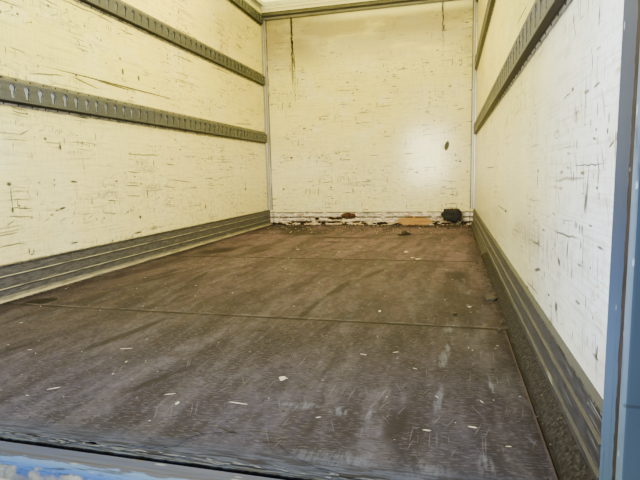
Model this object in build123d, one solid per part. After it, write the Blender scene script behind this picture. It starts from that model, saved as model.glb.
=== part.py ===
from build123d import *
from math import cos, radians, sin
import os

# Load box body of a box van: hollow box on two runners, lined walls with keyhole lashing rails,
# plywood floor, bulkhead, translucent roof and two rear doors folded back along the sides.
# Millimetres. +X right, +Y forward to the bulkhead, +Z up, Z = 0 under the runners.
# X = 0 is the centre line. Lengths along Y are given from the rear edge of the floor.

# Load space
LOAD_LENGTH = 4128.0
LOAD_WIDTH = 2040.0
LOAD_HEIGHT = 2150.0

# Panels and sheets
WALL_T = 25.0
SKIN_T = 3.0
FLOOR_T = 21.0
ROOF_T = 3.0
DOOR_PANEL_T = 30.0

# Underframe
RUNNER_HEIGHT = 120.0
RUNNER_FLANGE = 55.0
RUNNER_T = 6.0
RUNNER_SPACING = 860.0
RUNNER_SET_IN = 30.0
BEARER_HEIGHT = 80.0
BEARER_FLANGE = 50.0
BEARER_T = 4.0
BEARERS_PER_SHEET = 3
CLEAT_WIDTH = 120.0
CLEAT_FOOT = 70.0
CLEAT_T = 8.0
CLEAT_BOLT_R = 7.0
CLEAT_BOLT_SPACING = 70.0
CLEAT_PLACES = (600.0, 2100.0, 3600.0)

# Side and front bottom rails
BOTTOM_RAIL_T = 5.0
BOTTOM_RAIL_OVER_FLOOR = 79.0
BOTTOM_RAIL_FLANGE = 80.0

# Floor sheets, by the places of their seams
SHEET_LENGTH = 1239.5
FIRST_SEAM = 871.0
REAR_STRIP_WIDTH = 49.0
SEAM_GAP = 2.0

# Rear frame
POST_DEPTH = 76.0
POST_PROUD = 14.0
POST_OUT = 17.0
FRAME_T = 4.0
FRAME_FOLD_R = 8.0
REAR_HEADER_DEPTH = 90.0
SILL_GAP = 18.0
SILL_SET_DOWN = 2.0
SILL_TREAD = 42.0
SILL_NOSE_R = 25.0
SILL_BEHIND_DOOR = 6.0

# Roof edge rails and bows
TOP_RAIL_WIDTH = 60.0
TOP_RAIL_HEIGHT = 40.0
TOP_RAIL_R = 30.0
TOP_RAIL_T = 4.0
TOP_RAIL_OUTER_LEG = 60.0
TOP_RAIL_INNER_LEG = 25.0
BOW_WIDTH = 40.0
BOW_T = 3.0

# Front corners
CORNER_LEG = 60.0
CORNER_T = 4.0
TRIM_LEG = 40.0
TRIM_T = 3.0

# Kick strip, a ribbed extrusion along the foot of each wall
KICK_HEIGHT = 153.0
KICK_T = 12.0
KICK_RIB = 4.0
KICK_RIB_HEIGHTS = (54.0, 106.0)
KICK_TOE_HEIGHT = 23.0
KICK_TOE_OUT = 22.0
KICK_LIP = 5.0

# Keyhole lashing rails
LASH_HEIGHT = 122.0
LASH_FACE = 82.0
LASH_DEPTH = 22.0
LASH_SLOPE = 5.0
LASH_T = 2.5
LOWER_LASH_HEIGHT = 880.0
MIDDLE_LASH_HEIGHT = 1445.0
UPPER_LASH_BELOW_ROOF = 128.0
KEYHOLE_PITCH = 75.0
KEYHOLE_FIRST = 62.0
KEYHOLE_HEIGHT = 58.0
KEYHOLE_HEAD_R = 16.0
KEYHOLE_SLOT = 17.0
KEYHOLE_NECK_ANGLE = -49.0
KEYHOLE_HEAD_SIDES = 5
KEYHOLE_END_MARGIN = 30.0

# Bulkhead
BOARD_SEAM_X = 720.0
BAND_HEIGHT = 127.5
BAND_SLAT = 77.0
HEADER_RAIL_HEIGHT = 125.0
HEADER_RAIL_LIP = 22.0
HEADER_RAIL_LIP_OUT = 12.0
HEADER_RAIL_GROOVE = 16.0
HEADER_RAIL_GROOVE_OUT = 5.0
HEADER_RAIL_FACE_OUT = 20.0
HEADER_RAIL_CROWN = 24.0
HEADER_RAIL_CROWN_OUT = 28.0

# Torn openings in the bulkhead, each as (x, height over the floor) corners
TORN_CORNER = ((728, 34), (762, 20), (824, 24), (902, 46), (910, 96), (884, 152), (806, 158), (742, 128))
TORN_SLOT_LEFT = ((-540, 50), (-512, 41), (-478, 52), (-484, 71), (-520, 78))
TORN_SLOT_MIDDLE = ((-404, 62), (-352, 44), (-244, 50), (-238, 66), (-300, 74), (-380, 83))

# Doors, measured closed
DOOR_FRAME_T = 34.0
DOOR_FRAME_FACE = 40.0
DOOR_FRAME_EDGE = 3.0
DOOR_GAP = 6.0
DOOR_MEETING_GAP = 10.0
DOOR_SIDE_CLEAR = 7.0
DOOR_OVER_LEDGE = 8.0

# Hinges
HINGE_COUNT = 4
HINGE_END = 190.0
STRAP_LEG_ANGLE = 37.0
PIN_R = 6.0
PIN_FIT = 0.1
PIN_OUT = 20.0
PIN_BEHIND = 35.0
KNUCKLE_R = 12.0
STRAP_WIDTH = 44.0
STRAP_LENGTH = 230.0
STRAP_T = 5.0
EAR_T = 8.0
EAR_R = 14.0
EAR_CLEAR = 2.0
EAR_PLATE_T = 6.0
EAR_PLATE_LENGTH = 56.0
EAR_PLATE_HEIGHT = 120.0
EAR_ROOT = 10.0

# Locking gear
BAR_R = 13.5
BAR_STAND_OFF = 30.0
BAR_FROM_MIDDLE = 250.0
BAR_GUIDE_HEIGHTS = (120.0, 1050.0, 1980.0)
BAR_GUIDE_WIDTH = 44.0
BAR_GUIDE_HEIGHT = 30.0
BAR_GUIDE_WALL = 3.0
CAM_OUT = 26.0
CAM_THICK = 16.0
CAM_WIDTH = 20.0
CAM_CLEAR = 6.0
CAM_SHORT_OF_FRAME = 9.0
KEEPER_LUG = 6.0
KEEPER_BACK = 3.0
KEEPER_REACH = 27.0
KEEPER_HEIGHT = 30.0
HANDLE_LENGTH = 420.0
HANDLE_HEIGHT = 35.0
HANDLE_T = 12.0
HANDLE_UP = 900.0

# Heights
BEARER_TOP = RUNNER_HEIGHT + BEARER_HEIGHT
FLOOR_Z = BEARER_TOP + FLOOR_T
ROOF_Z = FLOOR_Z + LOAD_HEIGHT
REAR_HEADER_Z = ROOF_Z - REAR_HEADER_DEPTH
BODY_TOP = ROOF_Z + TOP_RAIL_HEIGHT
LASH_ROWS = {
    "lower": FLOOR_Z + LOWER_LASH_HEIGHT,
    "middle": FLOOR_Z + MIDDLE_LASH_HEIGHT,
    "upper": ROOF_Z - UPPER_LASH_BELOW_ROOF}

# Widths, from the centre line
INNER_X = LOAD_WIDTH / 2
OUTER_X = INNER_X + WALL_T
POST_INNER_X = INNER_X - POST_PROUD
POST_OUTER_X = OUTER_X + POST_OUT

# Lengths back from the floor's rear edge
LEDGE_BACK = SILL_GAP + SILL_TREAD + SILL_NOSE_R
DOOR_REAR_BACK = LEDGE_BACK + DOOR_GAP + DOOR_FRAME_T
PIN_BACK = DOOR_REAR_BACK + PIN_BEHIND

# Lengths, with the whole part centred on Y = 0
FRONT_REACH = LOAD_LENGTH + WALL_T + SKIN_T + CORNER_T
FLOOR_EDGE = (PIN_BACK + EAR_R - FRONT_REACH) / 2
POST_REAR_Y = FLOOR_EDGE - POST_DEPTH
BULKHEAD_Y = FLOOR_EDGE + LOAD_LENGTH
WALL_END_Y = BULKHEAD_Y + WALL_T
SKIN_Y = WALL_END_Y + SKIN_T
CORNER_START_Y = SKIN_Y - TOP_RAIL_WIDTH
BEARER_PITCH = SHEET_LENGTH / BEARERS_PER_SHEET

# Sill heights and places
SILL_TOP = FLOOR_Z - SILL_SET_DOWN
LEDGE_Z = SILL_TOP - SILL_NOSE_R
SILL_REAR_Y = FLOOR_EDGE - DOOR_REAR_BACK - SILL_BEHIND_DOOR

# Door places, closed
PIN_X = POST_OUTER_X + PIN_OUT
PIN_Y = FLOOR_EDGE - PIN_BACK
DOOR_REAR_Y = FLOOR_EDGE - DOOR_REAR_BACK
DOOR_FRONT_Y = DOOR_REAR_Y + DOOR_FRAME_T
DOOR_EDGE_X = POST_OUTER_X - DOOR_SIDE_CLEAR
DOOR_MEET_X = DOOR_MEETING_GAP / 2
DOOR_BOTTOM = LEDGE_Z + DOOR_OVER_LEDGE
DOOR_TOP = ROOF_Z
BAR_Y = DOOR_REAR_Y - BAR_STAND_OFF
FOLD_ANGLE = 270.0


# Shapes
def block(x0, x1, y0, y1, z0, z1):
    centre = ((x0 + x1) / 2, (y0 + y1) / 2, (z0 + z1) / 2)
    return Pos(*centre) * Box(x1 - x0, y1 - y0, z1 - z0)


def along_x(outline, x0, x1):
    """Extrude a face drawn in (y, z) from x0 to x1."""
    return extrude(Plane.YZ.offset(x0) * outline, amount=x1 - x0, dir=(1, 0, 0))


def along_y(outline, y0, y1):
    """Extrude a face drawn in (x, z) from y0 to y1."""
    return extrude(Plane.XZ.offset(-y0) * outline, amount=y1 - y0, dir=(0, 1, 0))


def along_z(outline, z0, z1):
    """Extrude a face drawn in (x, y) from z0 to z1."""
    return extrude(Plane.XY.offset(z0) * outline, amount=z1 - z0, dir=(0, 0, 1))


def outline(*points):
    return Polygon(*points, align=None)


def to_left(shape):
    return mirror(shape, about=Plane.YZ)


PARTS = {}


def pair(name, right_shape):
    """Keep a right-hand piece and its mirror image under plain names."""
    PARTS[f"{name}_right"] = right_shape
    PARTS[f"{name}_left"] = to_left(right_shape)


# Underframe
def bolt_holes(x, y):
    holes = [Pos(x, y + side * CLEAT_BOLT_SPACING / 2, CLEAT_T / 2) * Cylinder(CLEAT_BOLT_R, 2 * CLEAT_T)
             for side in (-1, 1)]
    return holes[0] + holes[1]


def runner():
    """Channel with its back outwards, and three cleats welded to it for the chassis bolts."""
    web_x = (RUNNER_SPACING + RUNNER_FLANGE) / 2
    tip_x = web_x - RUNNER_FLANGE
    channel = outline(
        (tip_x, 0), (web_x, 0), (web_x, RUNNER_HEIGHT), (tip_x, RUNNER_HEIGHT),
        (tip_x, RUNNER_HEIGHT - RUNNER_T), (web_x - RUNNER_T, RUNNER_HEIGHT - RUNNER_T),
        (web_x - RUNNER_T, RUNNER_T), (tip_x, RUNNER_T))
    body = along_y(channel, SILL_REAR_Y + RUNNER_SET_IN, WALL_END_Y)
    angle = outline(
        (web_x, 0), (web_x + CLEAT_FOOT, 0), (web_x + CLEAT_FOOT, CLEAT_T),
        (web_x + CLEAT_T, CLEAT_T), (web_x + CLEAT_T, RUNNER_HEIGHT - CLEAT_FOOT / 2),
        (web_x, RUNNER_HEIGHT - CLEAT_FOOT / 2))
    for place in CLEAT_PLACES:
        y = FLOOR_EDGE + place
        body += along_y(angle, y - CLEAT_WIDTH / 2, y + CLEAT_WIDTH / 2)
        body -= bolt_holes(cleat_bolt_x(), y)
    return body


def cleat_bolt_x():
    return (RUNNER_SPACING + RUNNER_FLANGE) / 2 + (CLEAT_T + CLEAT_FOOT) / 2


def bearer_places():
    """Bearer centres: at the floor's rear edge, under and between the seams, under the bulkhead."""
    first = BEARER_FLANGE / 2
    places = [FLOOR_EDGE + first]
    place = FIRST_SEAM
    while place - BEARER_PITCH > first + BEARER_FLANGE:
        place -= BEARER_PITCH
    while place < LOAD_LENGTH - BEARER_FLANGE:
        places.append(FLOOR_EDGE + place)
        place += BEARER_PITCH
    places.append(SKIN_Y - BEARER_FLANGE / 2)
    return places


def cross_bearers():
    half = BEARER_FLANGE / 2
    web = BEARER_T / 2
    low, high = RUNNER_HEIGHT, BEARER_TOP
    section = outline(
        (-half, low), (half, low), (half, low + BEARER_T), (web, low + BEARER_T),
        (web, high - BEARER_T), (half, high - BEARER_T), (half, high), (-half, high),
        (-half, high - BEARER_T), (-web, high - BEARER_T), (-web, low + BEARER_T), (-half, low + BEARER_T))
    beam = along_x(section, -OUTER_X, OUTER_X)
    return Compound([Pos(0, y, 0) * beam for y in bearer_places()])


def bottom_rail_section(back):
    """Angle that carries the bearers' ends and laps the wall. back is the wall's outer face."""
    low = RUNNER_HEIGHT - BOTTOM_RAIL_T
    inner = back - BOTTOM_RAIL_FLANGE
    outer = back + BOTTOM_RAIL_T
    return outline(
        (inner, low), (outer, low), (outer, FLOOR_Z + BOTTOM_RAIL_OVER_FLOOR),
        (back, FLOOR_Z + BOTTOM_RAIL_OVER_FLOOR), (back, RUNNER_HEIGHT), (inner, RUNNER_HEIGHT))


def front_bottom_rail():
    low = RUNNER_HEIGHT
    return block(-(OUTER_X - CORNER_LEG), OUTER_X - CORNER_LEG, SKIN_Y, SKIN_Y + CORNER_T,
                 low, FLOOR_Z + BOTTOM_RAIL_OVER_FLOOR)


# Floor
def floor_sheets():
    """Sheets laid rear to front. The rear one is narrower, with a strip down its right side."""
    seams = [FIRST_SEAM + i * SHEET_LENGTH for i in range(3)]
    starts = [FLOOR_EDGE] + [FLOOR_EDGE + seam + SEAM_GAP / 2 for seam in seams]
    ends = [FLOOR_EDGE + seam - SEAM_GAP / 2 for seam in seams] + [BULKHEAD_Y]
    names = ("rear", "second", "third", "front")
    strip_x = INNER_X - REAR_STRIP_WIDTH
    for name, y0, y1 in zip(names, starts, ends):
        right = strip_x - SEAM_GAP if name == "rear" else INNER_X
        PARTS[f"floor_sheet_{name}"] = block(-INNER_X, right, y0, y1, BEARER_TOP, FLOOR_Z)
    PARTS["floor_strip_rear_right"] = block(strip_x, INNER_X, starts[0], ends[0], BEARER_TOP, FLOOR_Z)


# Walls
def side_wall():
    return block(INNER_X, OUTER_X, FLOOR_EDGE, WALL_END_Y, BEARER_TOP, ROOF_Z)


def kick_strip():
    """Ribbed strip with a lip at its top, two ridges and a sloping toe."""
    face = INNER_X - KICK_T
    points = [(INNER_X, FLOOR_Z), (INNER_X, FLOOR_Z + KICK_HEIGHT),
              (face - KICK_RIB / 2, FLOOR_Z + KICK_HEIGHT), (face - KICK_RIB / 2, FLOOR_Z + KICK_HEIGHT - KICK_LIP),
              (face, FLOOR_Z + KICK_HEIGHT - 2 * KICK_LIP)]
    for rib in reversed(KICK_RIB_HEIGHTS):
        points += [(face, FLOOR_Z + rib + KICK_RIB), (face - KICK_RIB, FLOOR_Z + rib),
                   (face, FLOOR_Z + rib - KICK_RIB)]
    points += [(face, FLOOR_Z + KICK_TOE_HEIGHT), (face - KICK_TOE_OUT, FLOOR_Z + KICK_LIP),
               (face - KICK_TOE_OUT, FLOOR_Z)]
    return along_y(outline(*points), FLOOR_EDGE, BULKHEAD_Y)


def keyhole():
    """Round head over a tapering slot, drawn in (y, z) about its middle, its head in short flats."""
    low = -KEYHOLE_HEIGHT / 2
    head_z = KEYHOLE_HEIGHT / 2 - KEYHOLE_HEAD_R
    slot = KEYHOLE_SLOT / 2
    step = (180 - 2 * KEYHOLE_NECK_ANGLE) / KEYHOLE_HEAD_SIDES
    angles = [radians(KEYHOLE_NECK_ANGLE + i * step) for i in range(KEYHOLE_HEAD_SIDES + 1)]
    head = [(KEYHOLE_HEAD_R * cos(a), head_z + KEYHOLE_HEAD_R * sin(a)) for a in angles]
    return outline((-slot, low), (slot, low), *head)


def plain_slot():
    """Straight slot as tall and as wide as a keyhole's slot."""
    return Rectangle(KEYHOLE_SLOT, KEYHOLE_HEIGHT)


def lash_rail(z, hole):
    """Hat section against the wall, with a row of holes through its raised face."""
    half, face = LASH_HEIGHT / 2, LASH_FACE / 2
    back = INNER_X
    front = INNER_X - LASH_DEPTH
    root = face + LASH_SLOPE
    section = outline(
        (back, z - half), (back, z - root + LASH_T), (front + LASH_T, z - face + LASH_T),
        (front + LASH_T, z + face - LASH_T), (back, z + root - LASH_T), (back, z + half),
        (back - LASH_T, z + half), (back - LASH_T, z + root), (front, z + face),
        (front, z - face), (back - LASH_T, z - root), (back - LASH_T, z - half))
    end = BULKHEAD_Y - TRIM_LEG
    rail = along_y(section, FLOOR_EDGE, end)
    first = FLOOR_EDGE + KEYHOLE_FIRST
    count = int((end - KEYHOLE_END_MARGIN - first) // KEYHOLE_PITCH) + 1
    cutter = along_x(hole, front - LASH_T, front + 2 * LASH_T)
    holes = [Pos(0, first + i * KEYHOLE_PITCH, z) * cutter for i in range(count)]
    return rail - holes


# Bulkhead
def torn(corners):
    shape = outline(*[(x, FLOOR_Z + up) for x, up in corners])
    return along_y(shape, BULKHEAD_Y, WALL_END_Y)


def bulkhead():
    """Three lining boards over a battered lower band, all on one outer skin."""
    gap = SEAM_GAP / 2
    columns = {
        "left": (-INNER_X, -BOARD_SEAM_X - gap),
        "middle": (-BOARD_SEAM_X + gap, BOARD_SEAM_X - gap),
        "right": (BOARD_SEAM_X + gap, INNER_X)}
    for name, (x0, x1) in columns.items():
        board = block(x0, x1, BULKHEAD_Y, WALL_END_Y, FLOOR_Z + BAND_HEIGHT + gap, ROOF_Z)
        if name == "right":
            board -= torn(TORN_CORNER)
        PARTS[f"bulkhead_board_{name}"] = board
    lower = block(-INNER_X, INNER_X, BULKHEAD_Y, WALL_END_Y, BEARER_TOP, FLOOR_Z + BAND_SLAT - gap)
    upper = block(-INNER_X, INNER_X, BULKHEAD_Y, WALL_END_Y, FLOOR_Z + BAND_SLAT + gap,
                  FLOOR_Z + BAND_HEIGHT - gap)
    for corners in (TORN_CORNER, TORN_SLOT_LEFT, TORN_SLOT_MIDDLE):
        lower -= torn(corners)
        upper -= torn(corners)
    PARTS["bulkhead_lower_band"] = Compound([*lower.solids(), *upper.solids()])
    PARTS["bulkhead_skin"] = block(-OUTER_X, OUTER_X, WALL_END_Y, SKIN_Y, BEARER_TOP, ROOF_Z)


def bulkhead_header_rail():
    """Stepped rail across the top of the bulkhead: lip, groove, face and crown, from its foot up."""
    steps = (
        (HEADER_RAIL_LIP, HEADER_RAIL_LIP_OUT),
        (HEADER_RAIL_GROOVE, HEADER_RAIL_GROOVE_OUT),
        (HEADER_RAIL_HEIGHT - HEADER_RAIL_LIP - HEADER_RAIL_GROOVE - HEADER_RAIL_CROWN, HEADER_RAIL_FACE_OUT),
        (HEADER_RAIL_CROWN, HEADER_RAIL_CROWN_OUT))
    z = ROOF_Z - HEADER_RAIL_HEIGHT
    points = [(BULKHEAD_Y, z)]
    for height, out in steps:
        points += [(BULKHEAD_Y - out, z), (BULKHEAD_Y - out, z + height)]
        z += height
    points.append((BULKHEAD_Y, z))
    return along_x(outline(*points), -(INNER_X - TOP_RAIL_T), INNER_X - TOP_RAIL_T)


def corner_trim():
    """Aluminium angle up the inside corner between wall and bulkhead."""
    angle = outline(
        (INNER_X, BULKHEAD_Y), (INNER_X - TRIM_LEG, BULKHEAD_Y), (INNER_X - TRIM_LEG, BULKHEAD_Y - TRIM_T),
        (INNER_X - TRIM_T, BULKHEAD_Y - TRIM_T), (INNER_X - TRIM_T, BULKHEAD_Y - TRIM_LEG),
        (INNER_X, BULKHEAD_Y - TRIM_LEG))
    return along_z(angle, FLOOR_Z + KICK_HEIGHT, ROOF_Z - HEADER_RAIL_HEIGHT)


# Roof
def rail_head(inner, outer):
    """Outline of a top rail's head, on the section's own axis, with its outer top edge round."""
    corner_z = BODY_TOP - TOP_RAIL_R
    rim = Polyline((outer - TOP_RAIL_R, BODY_TOP), (inner, BODY_TOP), (inner, ROOF_Z), (outer, ROOF_Z),
                   (outer, corner_z))
    edge = RadiusArc((outer, corner_z), (outer - TOP_RAIL_R, BODY_TOP), -TOP_RAIL_R)
    return make_face(rim + edge)


def tube_of(face, wall):
    return face - offset(face, -wall)


def leg_outline(inner, outer, height):
    return outline((inner, ROOF_Z - height), (outer, ROOF_Z - height), (outer, ROOF_Z), (inner, ROOF_Z))


def cant_rail():
    """Hollow rail on the wall's top edge, with a leg down each face of the wall."""
    outer = OUTER_X + TOP_RAIL_T
    head = tube_of(rail_head(OUTER_X - TOP_RAIL_WIDTH, outer), TOP_RAIL_T)
    outer_leg = leg_outline(OUTER_X, outer, TOP_RAIL_OUTER_LEG)
    inner_leg = leg_outline(INNER_X - TOP_RAIL_T, INNER_X, TOP_RAIL_INNER_LEG)
    y0, y1 = FLOOR_EDGE, CORNER_START_Y
    return along_y(head, y0, y1) + along_y(outer_leg, y0, y1) + along_y(inner_leg, y0, y1)


def front_top_rail():
    """Hollow rail on the bulkhead's top edge, with a leg down its outer face."""
    half = OUTER_X - TOP_RAIL_WIDTH
    outer = SKIN_Y + CORNER_T
    head = tube_of(rail_head(SKIN_Y - TOP_RAIL_WIDTH, outer), TOP_RAIL_T)
    leg = leg_outline(SKIN_Y, outer, TOP_RAIL_OUTER_LEG)
    return along_x(head, -half, half) + along_x(leg, -half, half)


def front_corner_post():
    """Angle round the outer front corner, closed at its top by a cap that carries both rails' shape."""
    outer_x = OUTER_X + CORNER_T
    outer_y = SKIN_Y + CORNER_T
    leg_x = OUTER_X - CORNER_LEG
    angle = outline(
        (OUTER_X, CORNER_START_Y), (outer_x, CORNER_START_Y), (outer_x, outer_y), (leg_x, outer_y),
        (leg_x, SKIN_Y), (OUTER_X, SKIN_Y))
    post = along_z(angle, RUNNER_HEIGHT, ROOF_Z)
    along = along_y(rail_head(OUTER_X - TOP_RAIL_WIDTH, outer_x), CORNER_START_Y, outer_y)
    across = along_x(rail_head(CORNER_START_Y, outer_y), OUTER_X - TOP_RAIL_WIDTH, outer_x)
    return post + (along & across)


def roof_sheet():
    return block(-(OUTER_X - TOP_RAIL_R), OUTER_X - TOP_RAIL_R, FLOOR_EDGE,
                 SKIN_Y - TOP_RAIL_R, BODY_TOP, BODY_TOP + ROOF_T)


def roof_bows():
    """Hat-section bows between the cant rails, over every bearer but the first and last."""
    half = OUTER_X - TOP_RAIL_WIDTH
    mid = BOW_WIDTH / 2
    low = ROOF_Z + TOP_RAIL_T
    section = outline(
        (-mid, BODY_TOP), (-mid, low), (mid, low), (mid, BODY_TOP), (mid - BOW_T, BODY_TOP),
        (mid - BOW_T, low + BOW_T), (-mid + BOW_T, low + BOW_T), (-mid + BOW_T, BODY_TOP))
    bow = along_x(section, -half, half)
    return Compound([Pos(0, y, 0) * bow for y in bearer_places()[1:-1]])


# Rear frame
def folded(face, *corners):
    """Round the named corners of a face, as folded steel has them."""
    vertices = [face.vertices().sort_by_distance((*corner, 0))[0] for corner in corners]
    return fillet(vertices, FRAME_FOLD_R)


def rear_post():
    """Folded steel post, flat on its inner face, round at its rear corners."""
    section = outline(
        (POST_INNER_X, POST_REAR_Y), (POST_OUTER_X, POST_REAR_Y),
        (POST_OUTER_X, FLOOR_EDGE), (POST_INNER_X, FLOOR_EDGE))
    section = folded(section, (POST_INNER_X, POST_REAR_Y), (POST_OUTER_X, POST_REAR_Y))
    return along_z(tube_of(section, FRAME_T), RUNNER_HEIGHT, REAR_HEADER_Z)


def rear_header():
    """Folded beam across the posts, closed at its ends."""
    top = BODY_TOP + ROOF_T
    section = outline(
        (POST_REAR_Y, REAR_HEADER_Z), (FLOOR_EDGE, REAR_HEADER_Z), (FLOOR_EDGE, top), (POST_REAR_Y, top))
    section = folded(section, (POST_REAR_Y, REAR_HEADER_Z), (POST_REAR_Y, top))
    beam = along_x(tube_of(section, FRAME_T), -POST_OUTER_X, POST_OUTER_X)
    end = along_x(section, POST_OUTER_X - FRAME_T, POST_OUTER_X)
    return beam + end + to_left(end)


def rear_sill():
    """Folded sill: a tread behind the gap at the floor's edge, a round nose, and a ledge under the doors."""
    front = FLOOR_EDGE - SILL_GAP
    nose_y = front - SILL_TREAD
    ledge_y = FLOOR_EDGE - LEDGE_BACK
    rim = Polyline((nose_y, SILL_TOP), (front, SILL_TOP), (front, RUNNER_HEIGHT), (SILL_REAR_Y, RUNNER_HEIGHT),
                   (SILL_REAR_Y, LEDGE_Z), (ledge_y, LEDGE_Z))
    nose = RadiusArc((ledge_y, LEDGE_Z), (nose_y, SILL_TOP), SILL_NOSE_R)
    section = folded(make_face(rim + nose), (SILL_REAR_Y, LEDGE_Z))
    return along_x(tube_of(section, FRAME_T), -POST_INNER_X, POST_INNER_X)


# Doors
def fold_back(closed):
    """Swing a right-hand door from closed to folded along the side."""
    pin = Axis((PIN_X, PIN_Y, 0), (0, 0, 1))
    return closed.rotate(pin, FOLD_ANGLE)


def hinge_heights():
    low = DOOR_BOTTOM + HINGE_END
    step = (DOOR_TOP - HINGE_END - low) / (HINGE_COUNT - 1)
    return [low + i * step for i in range(HINGE_COUNT)]


def door_panel():
    edge = DOOR_FRAME_EDGE
    skin = (DOOR_FRAME_T - DOOR_PANEL_T) / 2
    return block(DOOR_MEET_X + edge, DOOR_EDGE_X - edge, DOOR_REAR_Y + skin, DOOR_FRONT_Y - skin,
                 DOOR_BOTTOM + edge, DOOR_TOP - edge)


def door_frame():
    """Grooved edge rail all round the panel."""
    face = DOOR_FRAME_FACE
    ring = block(DOOR_MEET_X, DOOR_EDGE_X, DOOR_REAR_Y, DOOR_FRONT_Y, DOOR_BOTTOM, DOOR_TOP)
    window = block(DOOR_MEET_X + face, DOOR_EDGE_X - face, DOOR_REAR_Y, DOOR_FRONT_Y,
                   DOOR_BOTTOM + face, DOOR_TOP - face)
    return ring - window - door_panel()


def door_straps():
    """Four straps on the door's outer face, each with a knuckle round its pin."""
    outer = DOOR_REAR_Y - STRAP_T
    near = KNUCKLE_R * sin(radians(STRAP_LEG_ANGLE))
    far = KNUCKLE_R * cos(radians(STRAP_LEG_ANGLE))
    plate = outline(
        (DOOR_EDGE_X - STRAP_LENGTH, DOOR_REAR_Y), (DOOR_EDGE_X, DOOR_REAR_Y),
        (PIN_X + near, PIN_Y + far), (PIN_X - far, PIN_Y - near),
        (DOOR_EDGE_X - STRAP_WIDTH / 2, outer), (DOOR_EDGE_X - STRAP_LENGTH, outer))
    half = STRAP_WIDTH / 2
    knuckle = Pos(PIN_X, PIN_Y, 0) * Cylinder(KNUCKLE_R, STRAP_WIDTH)
    bore = Pos(PIN_X, PIN_Y, 0) * Cylinder(PIN_R + PIN_FIT, 2 * STRAP_WIDTH)
    strap = along_z(plate, -half, half) + knuckle - bore
    return Compound([Pos(0, 0, z) * strap for z in hinge_heights()])


def hinge_brackets():
    """Two ears on a plate at the post's side, with the pin between them."""
    half = STRAP_WIDTH / 2 + EAR_CLEAR
    plate_front = POST_REAR_Y + EAR_PLATE_LENGTH + EAR_ROOT
    plate = block(POST_OUTER_X, POST_OUTER_X + EAR_PLATE_T, POST_REAR_Y + EAR_ROOT, plate_front,
                  -EAR_PLATE_HEIGHT / 2, EAR_PLATE_HEIGHT / 2)
    ear_face = outline(
        (POST_OUTER_X, plate_front), (POST_OUTER_X + EAR_ROOT, plate_front),
        (PIN_X + EAR_R, PIN_Y), (PIN_X - EAR_R, PIN_Y), (POST_OUTER_X, POST_REAR_Y))
    ear_face += Pos(PIN_X, PIN_Y) * Circle(EAR_R)
    ears = along_z(ear_face, half, half + EAR_T) + along_z(ear_face, -half - EAR_T, -half)
    pin = Pos(PIN_X, PIN_Y, 0) * Cylinder(PIN_R, 2 * (half + EAR_T))
    bracket = plate + ears + pin
    return Compound([Pos(0, 0, z) * bracket for z in hinge_heights()])


def locking_gear():
    """Upright bar with a cam at each end, its guides and its lever."""
    x = DOOR_MEET_X + BAR_FROM_MIDDLE
    low = DOOR_BOTTOM - CAM_OUT
    high = DOOR_TOP + CAM_OUT
    gear = Pos(x, BAR_Y, (low + high) / 2) * Cylinder(BAR_R, high - low)
    for height in BAR_GUIDE_HEIGHTS:
        z = DOOR_BOTTOM + height
        gear += block(x - BAR_GUIDE_WIDTH / 2, x + BAR_GUIDE_WIDTH / 2, BAR_Y - BAR_R - BAR_GUIDE_WALL,
                      DOOR_REAR_Y + (DOOR_FRAME_T - DOOR_PANEL_T) / 2,
                      z - BAR_GUIDE_HEIGHT / 2, z + BAR_GUIDE_HEIGHT / 2)
    for z, face_y in ((low, SILL_REAR_Y), (high, POST_REAR_Y)):
        gear += block(x - CAM_WIDTH / 2, x + CAM_WIDTH / 2, BAR_Y, face_y - CAM_SHORT_OF_FRAME,
                      z - CAM_THICK / 2, z + CAM_THICK / 2)
    lever_z = DOOR_BOTTOM + HANDLE_UP
    gear += block(x, x + HANDLE_LENGTH, BAR_Y - HANDLE_T / 2, BAR_Y + HANDLE_T / 2,
                  lever_z - HANDLE_HEIGHT / 2, lever_z + HANDLE_HEIGHT / 2)
    return gear


def lock_keepers():
    """Lugs each side of every cam, on the sill and the header."""
    x = DOOR_MEET_X + BAR_FROM_MIDDLE
    lug_in = CAM_WIDTH / 2 + CAM_CLEAR
    lug_out = lug_in + KEEPER_LUG
    solids = []
    for z, y in ((DOOR_BOTTOM - CAM_OUT, SILL_REAR_Y), (DOOR_TOP + CAM_OUT, POST_REAR_Y)):
        low, high = z - KEEPER_HEIGHT / 2, z + KEEPER_HEIGHT / 2
        reach, back = y - KEEPER_REACH, y - KEEPER_BACK
        channel = outline(
            (x - lug_out, y), (x + lug_out, y), (x + lug_out, reach), (x + lug_in, reach), (x + lug_in, back),
            (x - lug_in, back), (x - lug_in, reach), (x - lug_out, reach))
        keeper = along_z(channel, low, high)
        solids += [keeper, to_left(keeper)]
    return Compound(solids)


pair("runner", runner())
PARTS["cross_bearers"] = cross_bearers()
pair("bottom_rail", along_y(bottom_rail_section(OUTER_X), FLOOR_EDGE, CORNER_START_Y))
PARTS["bottom_rail_front"] = front_bottom_rail()
floor_sheets()
pair("side_wall", side_wall())
pair("kick_strip", kick_strip())
for row, row_z in LASH_ROWS.items():
    pair(f"lash_rail_{row}", lash_rail(row_z, plain_slot() if row == "upper" else keyhole()))
bulkhead()
PARTS["bulkhead_header_rail"] = bulkhead_header_rail()
pair("corner_trim", corner_trim())
pair("cant_rail", cant_rail())
PARTS["front_top_rail"] = front_top_rail()
pair("front_corner_post", front_corner_post())
PARTS["roof_sheet"] = roof_sheet()
PARTS["roof_bows"] = roof_bows()
pair("rear_post", rear_post())
PARTS["rear_header"] = rear_header()
PARTS["rear_sill"] = rear_sill()
pair("hinge_brackets", hinge_brackets())
PARTS["lock_keepers"] = lock_keepers()
pair("door_panel", fold_back(door_panel()))
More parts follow.
